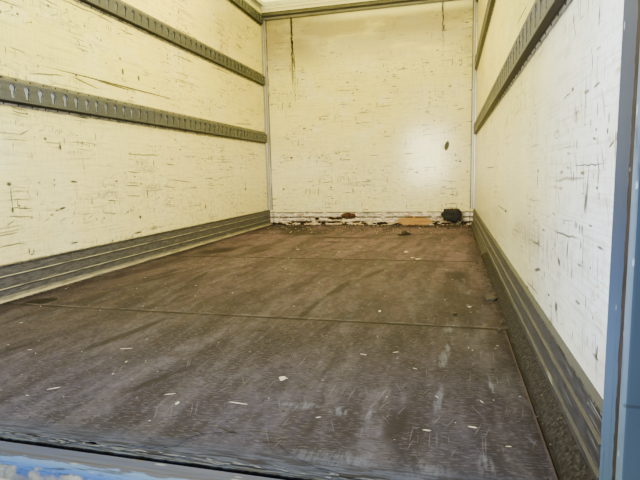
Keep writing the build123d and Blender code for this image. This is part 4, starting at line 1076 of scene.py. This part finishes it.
def lash_rail(row, side_name, side, look, back_look, rim_look):
    """Hat-section rail with keyholes, painted pale inside as light behind the keyholes, near-black round its
    holes as painted shade, and rivets through both flanges.
    """
    low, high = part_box(f"lash_rail_{row}_{side_name}")
    z = (low.z + high.z) / 2
    half = (high.z - low.z) / 2
    back = side * INNER_X
    depth = high.x - low.x
    hole_ring = slot_ring if row == "upper" else keyhole_ring
    bm = bmesh.new()
    rail_face(bm, side, z, low.y, high.y, back - side * (depth - RAIL_T), hole_ring)
    for end in (-1, 1):
        line = [(depth - RAIL_T / 2, end * (RAIL_FACE_HALF - RAIL_FOLD_R)),
                (depth - RAIL_T / 2, end * RAIL_FACE_HALF),
                (RAIL_T / 2, end * RAIL_ROOT_HALF), (RAIL_T / 2, end * half)]
        ring = thickened(bent_strip(line, RAIL_FOLD_R * 0.6), RAIL_T)
        prism(bm, [(back - side * point.x, low.y, z + point.y) for point in ring], (0.0, high.y - low.y, 0.0))
    bmesh.ops.recalc_face_normals(bm, faces=bm.faces)
    front = back - side * depth
    inside = Vector((back - side * depth / 2, 0.0, z))
    # Faces round the holes take the near-black rim look, painted shade; the rail's inner faces take the pale
    # back look, painted light.
    for face in bm.faces:
        middle = face.calc_center_median()
        off_middle = abs(middle.z - z)
        inward = (inside - middle) * Vector((1.0, 0.0, 1.0))
        if abs(face.normal.x) < 0.3 and off_middle < KEYHOLE_HALF + 2 * RIM_T and low.y < middle.y - 0.001:
            face.material_index = 2 if middle.y < high.y - 0.001 else 0
        elif off_middle < RAIL_ROOT_HALF and abs(middle.x - front) > 0.001 and face.normal.dot(inward) > 0.0:
            face.material_index = 1
    rail = make_piece(f"rail_{row}_{side_name}", bm, look, smooth_angle=35)
    for extra in (back_look, rim_look):
        rail.data.materials.append(extra)
    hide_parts(f"lash_rail_{row}_{side_name}")
    places = [(back - side * RAIL_T, y, z + end * (half + RAIL_ROOT_HALF) / 2)
              for end in (-1, 1) for y in spaced(low.y + 0.030, high.y - 0.020, KEYHOLE_PITCH)]
    domes(f"rail_rivets_{row}_{side_name}", places, (-side, 0, 0), RAIL_RIVET, rim_look)


# Rivets, screws and bolts on the rest of the body
def side_box(name, side_name):
    """Corners of a node's box, and how near to the van's middle it starts and ends."""
    low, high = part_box(f"{name}_{side_name}")
    return low, high, *sorted((abs(low.x), abs(high.x)))


def outside_rivets(look):
    """Rivet rows down the outside rails, round the roof's edge and up the corner posts and trims."""
    step = BODY_RIVET_STEP
    for side_name, side in SIDES:
        outward = (side, 0, 0)
        low, high, _, face = side_box("bottom_rail", side_name)
        bottom = [(side * face, y, high.z - drop) for drop in (0.014, 0.066)
                  for y in spaced(low.y + 0.05, high.y - 0.03, step)]
        low, high, _, face = side_box("cant_rail", side_name)
        cant = [(side * face, y, low.z + 0.016) for y in spaced(low.y + 0.05, high.y - 0.03, step)]
        low, high, inner, face = side_box("front_corner_post", side_name)
        beside = [(side * face, low.y + 0.014, z) for z in spaced(low.z + 0.05, ROOF_Z - 0.08, step)]
        before = [(side * (inner - 0.012), SKIN_Y, z) for z in spaced(low.z + 0.15, ROOF_Z - 0.12, step)]
        for name, places, normal in (("bottom_rivets", bottom, outward), ("cant_rivets", cant, outward),
                                     ("corner_rivets_side", beside, outward),
                                     ("corner_rivets_front", before, (0, 1, 0))):
            domes(f"{name}_{side_name}", places, normal, BODY_RIVET, look)
        low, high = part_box(f"corner_trim_{side_name}")
        trim = [(side * (INNER_X - 0.026), low.y + high.y - BULKHEAD_Y + 0.037, z)
                for z in spaced(low.z + 0.06, high.z - 0.06, TRIM_RIVET_STEP)]
        domes(f"trim_rivets_{side_name}", trim, (0, -1, 0), TRIM_RIVET, look)


def kick_screws(look):
    """Sunk screws along the upper flat of each kick strip."""
    for side_name, side in SIDES:
        x = side * (INNER_X - KICK_SCREW_INSET)
        places = [(x, y, FLOOR_Z + KICK_SCREW_RISE)
                  for y in spaced(EDGE_Y + 0.08, BULKHEAD_Y - 0.08, KICK_SCREW_STEP)]
        domes(f"kick_screws_{side_name}", places, (-side, 0, 0), KICK_SCREW, look)


def hinge_bolts(look):
    """Round-headed bolts through each door strap and on each bracket plate."""
    for side_name, side in SIDES:
        strap_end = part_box(f"door_straps_{side_name}")[1].y
        brackets_low, brackets_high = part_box(f"hinge_brackets_{side_name}")
        first, last = brackets_low.z + BRACKET_END, brackets_high.z - BRACKET_END
        heights = spaced(first, last, (last - first) / 3)
        strap = side * (DOOR_LOW.x - 0.005)
        places = [(strap, strap_end - back, z) for z in heights for back in STRAP_BOLTS_FROM_END]
        body = f"door_{side_name}"
        domes(f"strap_bolts_{side_name}", places, (-side, 0, 0), STRAP_BOLT, look, body)
        plate = side * (POST_HIGH.x + 0.006)
        places = [(plate, POST_LOW.y + 0.038, z + rise) for z in heights for rise in BRACKET_BOLT_RISES]
        domes(f"bracket_bolts_{side_name}", places, (side, 0, 0), BRACKET_BOLT, look)


SEAL_HEIGHT, SEAL_WIDTH, SEAL_INSET = 0.005, 0.014, 0.012
SEAL_PROFILE = ((0.0, 0.0), (0.25, 0.75), (0.5, 1.0), (0.75, 0.75), (1.0, 0.0))


def door_seals(look):
    """Soft ribbed seal round the face of each door that meets the frame."""
    low_y, high_y = DOOR_LOW.y + SEAL_INSET, DOOR_HIGH.y - SEAL_INSET
    low_z, high_z = DOOR_LOW.z + SEAL_INSET, DOOR_HIGH.z - SEAL_INSET
    for side_name, side in SIDES:
        bm = bmesh.new()
        rings = []
        for across, rise in SEAL_PROFILE:
            d = across * SEAL_WIDTH
            x = side * DOOR_HIGH.x + side * SEAL_HEIGHT * rise
            y0, y1, z0, z1 = low_y + d, high_y - d, low_z + d, high_z - d
            rings.append([bm.verts.new((x, y, z)) for y, z in ((y0, z0), (y1, z0), (y1, z1), (y0, z1))])
        bands(bm, rings, shut=True)
        make_piece(f"door_seal_{side_name}", bm, look, body=f"door_{side_name}", smooth_angle=40)


# Loose film, splinters and crumbs
def wobble(a, b, scale, seed):
    """Smooth noise from -1 to 1 for a place on a line or plane."""
    return noise.noise(Vector((a / scale, b / scale, 11.3 * seed)))


FILM_T = 0.0008
FILM_STEPS = 300
FILM_TEAR = ((0.205, 0.014), (0.262, 0.020), (0.305, 0.030), (0.306, 0.058), (0.335, 0.088), (0.385, 0.102),
             (0.430, 0.100), (0.437, 0.080), (0.486, 0.086), (0.512, 0.060), (0.560, 0.030), (0.620, 0.016))


def floor_film(look):
    """The film face of the rear sheet, torn back in places along its rear edge."""
    points = []
    x0, x1 = 0.001 - KICK_LOW.x, REAR_SHEET_X - 0.0015
    for i in range(FILM_STEPS + 1):
        x = x0 + (x1 - x0) * i / FILM_STEPS
        back = 0.009 + 0.006 * wobble(x, 0, 0.05, 1) + 0.005 * wobble(x, 0, 0.012, 2)
        back += 0.002 * wobble(x, 0, 0.004, 3)
        for (xa, ya), (xb, yb) in zip(FILM_TEAR, FILM_TEAR[1:]):
            if xa <= x < xb:
                back = ya + (yb - ya) * (x - xa) / (xb - xa) + 0.006 * wobble(x, 0, 0.012, 4)
        points.append((x, EDGE_Y + max(back, 0.001), FLOOR_Z))
    points += [(x1, FIRST_SEAM_Y - 0.001, FLOOR_Z), (x0, FIRST_SEAM_Y - 0.001, FLOOR_Z)]
    bm = bmesh.new()
    prism(bm, points, (0.0, 0.0, FILM_T))
    bmesh.ops.triangulate(bm, faces=[face for face in bm.faces if len(face.verts) > 4])
    make_piece("floor_film_rear", bm, look)


def sliver(bm, middle, length, width, thickness, turn, tilt=0.0):
    """Tapered splinter lying on a surface."""
    turned = Matrix.Rotation(turn, 3, "Z") @ Matrix.Rotation(tilt, 3, "Y")
    ring = []
    for along, across in ((-0.5, 0.1), (-0.2, 0.5), (0.25, 0.42), (0.5, 0.0), (0.2, -0.5), (-0.3, -0.4)):
        ring.append(Vector(middle) + turned @ Vector((along * length, across * width, 0.0)))
    prism(bm, ring, (0.0, 0.0, thickness))


def crumb(bm, middle, size, draw):
    """Small broken lump resting on the floor."""
    made = bmesh.ops.create_icosphere(bm, subdivisions=1, radius=size)
    stretch = Vector((draw.uniform(0.7, 1.5), draw.uniform(0.6, 1.2), draw.uniform(0.35, 0.8)))
    turn = Matrix.Rotation(draw.uniform(0, math.tau), 3, "Z")
    for vert in made["verts"]:
        shaped = Vector([a * b for a, b in zip(vert.co, stretch)]) * draw.uniform(0.75, 1.2)
        shaped.z = max(shaped.z, -0.6 * size * stretch.z)
        vert.co = Vector(middle) + turn @ shaped + Vector((0.0, 0.0, 0.6 * size * stretch.z))


FLAKE_CELLS = 4


def flake(bm, middle, size, draw):
    """Bent scrap of paper or film: a small sheet with uneven edges and one lifted corner."""
    turn = Matrix.Rotation(draw.uniform(0, math.tau), 3, "Z")
    grid = []
    for i in range(FLAKE_CELLS + 1):
        line = []
        for j in range(FLAKE_CELLS + 1):
            a, b = i / FLAKE_CELLS - 0.5, j / FLAKE_CELLS - 0.5
            edge = 1.0 - 0.25 * draw.random() * (abs(a) == 0.5 or abs(b) == 0.5)
            rise = 0.25 * size * max(0.0, a + b) ** 2 + 0.03 * size * draw.random()
            flat = turn @ Vector((a * size * 1.4 * edge, b * size * edge, 0.0))
            line.append(Vector(middle) + flat + Vector((0.0, 0.0, rise + 0.0003)))
        grid.append(line)
    thick = Vector((0.0, 0.0, 0.0005))
    thin_sheet(bm, [[place + thick for place in line] for line in grid], grid)


# How many bits are scattered by chance, besides those seen in the photograph
SLIVER_COUNT = 110
CRUMBS_BY_KICK_STRIPS = 260
CRUMBS_BY_BULKHEAD = 300
PALE_CRUMBS_BY_BULKHEAD = 240
PALE_CRUMBS_ALL_OVER = 80
FIBRE_COUNT = 170

# Slivers seen in the photograph: across, along, length, width, turn in degrees
PALE_SLIVERS = (
    (0.346, 0.222, 0.062, 0.006, -4), (0.172, 0.233, 0.034, 0.005, 25), (-0.126, 0.204, 0.040, 0.006, 40),
    (-0.127, 0.487, 0.050, 0.006, 20), (0.567, 0.571, 0.026, 0.006, -12), (0.653, 0.605, 0.024, 0.005, 25),
    (0.756, 0.188, 0.022, 0.008, 0), (0.842, 0.219, 0.024, 0.010, -8), (0.902, 0.160, 0.014, 0.006, 10),
    (0.537, 0.195, 0.014, 0.006, 30), (0.213, 0.194, 0.010, 0.030, 0), (0.552, 1.017, 0.012, 0.050, 0))

# Scraps and lumps seen there: across, along, size
PALE_SCRAPS = ((0.401, 0.368, 0.034), (0.622, 2.154, 0.060), (0.585, 2.20, 0.040), (0.530, 2.413, 0.050),
               (0.103, 2.37, 0.030), (0.869, 1.127, 0.018), (-0.20, 2.45, 0.030), (0.20, 2.60, 0.026))
DARK_LUMPS = ((0.817, 1.020, 0.012), (0.957, 1.255, 0.020), (0.940, 1.262, 0.014), (0.446, 3.30, 0.036),
              (0.470, 3.33, 0.026), (0.405, 3.29, 0.024), (0.950, 0.851, 0.008))


def loose_bits(pale, dark):
    """Slivers, scraps and crumbs on the floor: those of the photograph, then scattered ones."""
    draw = random.Random(4)
    bm = bmesh.new()
    for x, y, length, width, turn in PALE_SLIVERS:
        sliver(bm, (x, EDGE_Y + y, FLOOR_Z + FILM_T), 0.75 * length, 0.5 * width, 0.0009, math.radians(turn))
    for _ in range(SLIVER_COUNT):
        x, y = draw.uniform(-0.97, 0.95), draw.uniform(0.05, 3.9)
        lift = FILM_T if y < FIRST_SEAM_Y - EDGE_Y else 0.0
        length, width = draw.uniform(0.004, 0.013), draw.uniform(0.0010, 0.0022)
        sliver(bm, (x, EDGE_Y + y, FLOOR_Z + lift), length, width, 0.0008, draw.uniform(0, math.pi))
    make_piece("floor_slivers", bm, pale)
    bm = bmesh.new()
    for x, y, size in PALE_SCRAPS:
        flake(bm, (x, EDGE_Y + y, FLOOR_Z + FILM_T), 0.55 * size, draw)
    make_piece("floor_scraps", bm, pale)
    bm = bmesh.new()
    for x, y, size in DARK_LUMPS:
        crumb(bm, (x, EDGE_Y + y, FLOOR_Z + FILM_T), size, draw)
    for _ in range(CRUMBS_BY_KICK_STRIPS):
        side = 1 if draw.random() < 0.75 else -1
        x = side * (KICK_LOW.x - 0.004 - draw.random() ** 3 * 0.09)
        crumb(bm, (x, EDGE_Y + draw.uniform(0.02, 4.05), FLOOR_Z), draw.uniform(0.0012, 0.0045), draw)
    for _ in range(CRUMBS_BY_BULKHEAD):
        x, y = draw.uniform(-0.97, 0.97), BULKHEAD_Y - 0.006 - draw.random() ** 2 * 0.55
        crumb(bm, (x, y, FLOOR_Z), draw.uniform(0.002, 0.008), draw)
    make_piece("floor_crumbs_dark", bm, dark)
    bm = bmesh.new()
    for _ in range(PALE_CRUMBS_BY_BULKHEAD):
        x, y = draw.uniform(-0.95, 0.95), BULKHEAD_Y - 0.010 - draw.random() ** 2 * 0.75
        crumb(bm, (x, y, FLOOR_Z), draw.uniform(0.002, 0.006), draw)
    for _ in range(PALE_CRUMBS_ALL_OVER):
        x, y = draw.uniform(-0.95, 0.95), EDGE_Y + draw.uniform(1.0, 4.0)
        crumb(bm, (x, y, FLOOR_Z), draw.uniform(0.001, 0.003), draw)
    make_piece("floor_crumbs_pale", bm, pale)


def dirt_bank(look):
    """Grit swept against the right kick strip, over its toe, thinning towards the bulkhead."""
    foot_x, face_x = REAR_SHEET_X + 0.004, INNER_X - 0.0095
    rows, columns, length = 520, 10, 2.3
    grid = []
    for i in range(rows + 1):
        along = 0.004 + length * i / rows
        fade = 1.0 - 0.25 * i / rows
        line = []
        for j in range(columns + 1):
            a = j / columns
            x = face_x - (face_x - foot_x) * (1 - a) * (0.88 + 0.12 * wobble(along, 0, 0.10, 21))
            rise = fade * 0.036 * a ** 0.65 * (1.0 + 0.10 * wobble(along, a, 0.05, 22))
            rise += 0.0012 * a * wobble(along, x, 0.007, 23)
            line.append((x, EDGE_Y + along, FLOOR_Z + max(rise, 0.0006)))
        grid.append(line)
    bm = bmesh.new()
    thin_sheet(bm, grid, [[(x, y, FLOOR_Z + 0.0002) for x, y, _ in line] for line in grid])
    make_piece("dirt_bank_right", bm, look, smooth_angle=60)


def worn_lip(look):
    """Frayed ply standing out from the floor's rear edge, narrowing the gap before the sill."""
    steps = 420
    front, back = [], []
    for i in range(steps + 1):
        x = -0.984 + 1.966 * i / steps
        out = 0.0075 + 0.0012 * wobble(x, 0, 0.06, 31) + 0.0016 * wobble(x, 0, 0.009, 32)
        top = FLOOR_Z - 0.0004 + 0.0004 * wobble(x, 0, 0.02, 33)
        back.append((x, EDGE_Y + 0.001, top))
        front.append((x, EDGE_Y - out, top - 0.0012))
    under_front = [(x, y + 0.0025, z - 0.0105) for x, y, z in front]
    under_back = [(x, y, z - 0.0120) for x, y, z in back]
    bm = bmesh.new()
    loops = [[bm.verts.new(place) for place in line] for line in (back, front, under_front, under_back)]
    bands(bm, loops, around=False, shut=True)
    for i in (0, steps):
        bm.faces.new([loop[i] for loop in loops])
    make_piece("floor_edge_lip", bm, look)


def rear_fibres(look):
    """Splinters along the floor's worn rear edge, most of them along the grain across the floor."""
    draw = random.Random(9)
    bm = bmesh.new()
    for _ in range(FIBRE_COUNT):
        x = draw.uniform(-0.96, 0.95)
        y = EDGE_Y + draw.uniform(-0.002, 0.012)
        z = FLOOR_Z - draw.uniform(0.0, 0.002)
        length, width = draw.uniform(0.008, 0.045), draw.uniform(0.0012, 0.004)
        sliver(bm, (x, y, z), length, width, 0.0016, draw.gauss(0, 0.12), draw.uniform(-0.04, 0.04))
    make_piece("floor_edge_fibres", bm, look)


# Torn openings, repeated from the bulkhead's solids: across and up
TORN_CORNER = ((0.728, 0.034), (0.762, 0.020), (0.824, 0.024), (0.902, 0.046), (0.910, 0.096), (0.884, 0.152),
               (0.806, 0.158), (0.742, 0.128))
TORN_SLOTS = (((-0.540, 0.050), (-0.512, 0.041), (-0.478, 0.052), (-0.484, 0.071), (-0.520, 0.078)),
              ((-0.404, 0.062), (-0.352, 0.044), (-0.244, 0.050), (-0.238, 0.066), (-0.300, 0.074),
               (-0.380, 0.083)))


def torn_shards(name, ring, look, reach, seed):
    """Broken ply standing into a torn opening from its edge, in layers."""
    draw = random.Random(seed)
    bm = bmesh.new()
    centre = Vector((sum(p[0] for p in ring) / len(ring), sum(p[1] for p in ring) / len(ring)))
    for a, b in zip(ring, ring[1:] + ring[:1]):
        a, b = Vector(a), Vector(b)
        count = max(2, int((b - a).length / 0.007))
        for i in range(count):
            foot = a.lerp(b, (i + draw.random()) / count)
            inward = (centre - foot).normalized()
            across = Vector((-inward.y, inward.x))
            wide = draw.uniform(0.003, 0.008)
            long = draw.uniform(0.3, 1.0) * reach
            lean = across * draw.uniform(-0.5, 0.5) * long
            tip = foot + inward * long + lean
            depth = draw.uniform(-0.003, 0.014)
            corners = (foot - across * wide - inward * 0.004, foot + across * wide - inward * 0.004,
                       tip + across * wide * 0.25, tip - across * wide * 0.2)
            prism(bm, [(c.x, BULKHEAD_Y + depth, FLOOR_Z + c.y) for c in corners], (0.0, 0.0015, 0.0))
    make_piece(name, bm, look)


def crumpled_liner(look):
    """Black torn film hanging crumpled in the corner opening."""
    columns, rows = 16, 12
    grid = []
    for i in range(columns + 1):
        line = []
        for j in range(rows + 1):
            a, b = i / columns, j / rows
            x = 0.715 + 0.200 * a + 0.010 * wobble(a, b, 0.25, 5)
            z = 0.012 + 0.150 * b + 0.016 * wobble(a, b, 0.22, 6)
            rim = min(a, b, 1 - a, 1 - b)
            bulge = 0.020 * min(1.0, 4 * rim) + 0.012 * wobble(a, b, 0.16, 7)
            line.append(Vector((x, BULKHEAD_Y + 0.002 - max(bulge, -0.002), FLOOR_Z + max(z, 0.004))))
        grid.append(line)

    def in_oval(i, j):
        a, b = (i / columns - 0.5) * 2, (j / rows - 0.5) * 2
        return a * a + b * b <= 0.95 + 0.5 * wobble(a, b, 0.5, 8)

    thick = Vector((0.0, 0.0012, 0.0))
    bm = bmesh.new()
    thin_sheet(bm, grid, [[place + thick for place in line] for line in grid], in_oval)
    bmesh.ops.delete(bm, geom=[vert for vert in bm.verts if not vert.link_faces], context="VERTS")
    make_piece("torn_film_corner", bm, look, smooth_angle=60)


def seam_tapes(look):
    """Thin cover strips over the board seams, torn off towards the top."""
    half = 0.018
    count = 9
    for side_name, x, foot, top in (("left", -BOARD_SEAM_X - 0.001, BOARD_LOW.z + 0.002, 1.640),
                                    ("right", BOARD_SEAM_X + 0.001, FLOOR_Z + 0.172, 1.770)):
        ring = [(x - half, BULKHEAD_Y, foot), (x + half, BULKHEAD_Y, foot)]
        for i in range(count + 1):
            a = half - 2 * half * i / count
            ring.append((x + a, BULKHEAD_Y, FLOOR_Z + top + 0.02 * wobble(a, 0, 0.01, 3)))
        bm = bmesh.new()
        prism(bm, ring, (0.0, -0.0005, 0.0))
        make_piece(f"seam_tape_{side_name}", bm, look)


# Lights, camera and floor
def add_camera():
    """The photograph's camera."""
    cy, sy = math.cos(CAMERA_YAW), math.sin(CAMERA_YAW)
    cp, sp = math.cos(CAMERA_PITCH), math.sin(CAMERA_PITCH)
    forward = Vector((-sy * cp, cy * cp, sp))
    right = Vector((cy, sy, 0))
    up = right.cross(forward)
    cr, sr = math.cos(CAMERA_ROLL), math.sin(CAMERA_ROLL)
    right, up = cr * right + sr * up, cr * up - sr * right
    data = bpy.data.cameras.new("camera")
    data.sensor_width = SENSOR_MM
    data.lens = SENSOR_MM * FOCAL_PIXELS / PHOTO_WIDTH
    camera = bpy.data.objects.new("camera", data)
    place = Vector((CAMERA_X, EDGE_Y - CAMERA_BEHIND_EDGE, FLOOR_Z + CAMERA_OVER_FLOOR))
    turn = Matrix((right, up, -forward)).transposed().to_4x4()
    camera.matrix_world = Matrix.Translation(place) @ turn
    bpy.context.scene.collection.objects.link(camera)
    bpy.context.scene.camera = camera


def panel_light(name, place, facing, size, power, colour, diffuse=True, glossy=True):
    """Rectangular soft light that the camera doesn't see."""
    data = bpy.data.lights.new(name, "AREA")
    data.shape = "RECTANGLE"
    data.size, data.size_y = size
    data.energy = power
    data.color = colour
    light = bpy.data.objects.new(name, data)
    light.rotation_euler = Vector(facing).to_track_quat("-Z", "Y").to_euler()
    light.location = place
    light.visible_camera = False
    light.visible_diffuse = diffuse
    light.visible_glossy = glossy
    bpy.context.scene.collection.objects.link(light)


def add_lights():
    """Daylight through the roof sheet and the open doorway, and soft light around the outside."""
    world = bpy.data.worlds.new("studio")
    bpy.context.scene.world = world
    world.use_nodes = True
    sky = world.node_tree.nodes["Background"].inputs
    sky["Color"].default_value = (*DAYLIGHT, 1.0)
    sky["Strength"].default_value = 1.0
    down, forward = (0, 0, -1), (0, 1, 0)
    roof_z = ROOF_Z - 0.01
    rear, middle = (EDGE_Y + share * LOAD_LENGTH for share in (0.22, 0.53))
    door_y = EDGE_Y - 0.10
    for name, y, length, power, colour in (("roof_glow_rear", rear, 0.32, 62, (0.89, 1.0, 0.33)),
                                           ("roof_glow_middle", middle, 0.30, 100, (1.0, 0.80, 0.19))):
        panel_light(name, (0, y, roof_z), down, (1.9, length * LOAD_LENGTH), power, colour)
    panel_light("doorway_glow", (0, door_y, FLOOR_Z + 0.70), forward, (1.9, 1.0), 52, (0.66, 0.74, 1.0),
                glossy=False)
    panel_light("doorway_shine", (0.400, door_y, FLOOR_Z + 0.78), forward, (0.66, 0.90), 110,
                (1.0, 1.0, 0.66), diffuse=False)
    panel_light("studio_top", (0.0, -0.5, 6.0), down, (8, 8), 260, (1.0, 0.99, 0.97))
    panel_light("studio_rear", (1.5, EDGE_Y - 5.5, 3.0), (-0.2, 1, -0.35), (4, 3), 160, (0.95, 0.98, 1.0))


def add_ground():
    """Plain studio floor under the part."""
    bpy.ops.mesh.primitive_plane_add(size=40)
    ground = bpy.context.object
    ground.name = "studio_floor"
    look = Look("studio_floor", "xyz")
    look.base(STUDIO, rough=0.9)
    ground.data.materials.append(look.done())


add_camera()
add_lights()
add_ground()
looks = dress_nodes()
rail_back, hole_rim = rail_back_lit_look(), hole_rim_look()
for row in ROWS:
    for side_name, side in SIDES:
        lash_rail(row, side_name, side, looks[f"lash_rail_{row}"], rail_back, hole_rim)
outside_rivets(looks["bottom_rail"])
kick_screws(looks["kick_strip"])
hinge_bolts(looks["hinge_brackets"])
door_seals(rubber_look())
seam_tapes(looks["bulkhead_board"])
floor_film(looks["floor"])
loose_bits(chip_look("chips_pale", (0.40, 0.36, 0.29), (0.20, 0.16, 0.11)),
           chip_look("crumbs_dark", (0.045, 0.034, 0.024), (0.012, 0.010, 0.008)))
rear_fibres(chip_look("fibres_grey", (0.105, 0.110, 0.130), (0.020, 0.021, 0.027)))
dirt_bank(dirt_look())
worn_lip(lip_look())
ply_torn = chip_look("ply_torn", (0.42, 0.27, 0.13), (0.16, 0.085, 0.04))
torn_shards("torn_shards_corner", TORN_CORNER, ply_torn, 0.030, 1)
for number, ring in enumerate(TORN_SLOTS, 1):
    torn_shards(f"torn_shards_slot_{number}", ring, ply_torn, 0.010, 1 + number)
crumpled_liner(chip_look("film_black", (0.020, 0.020, 0.024), (0.008, 0.008, 0.009)))
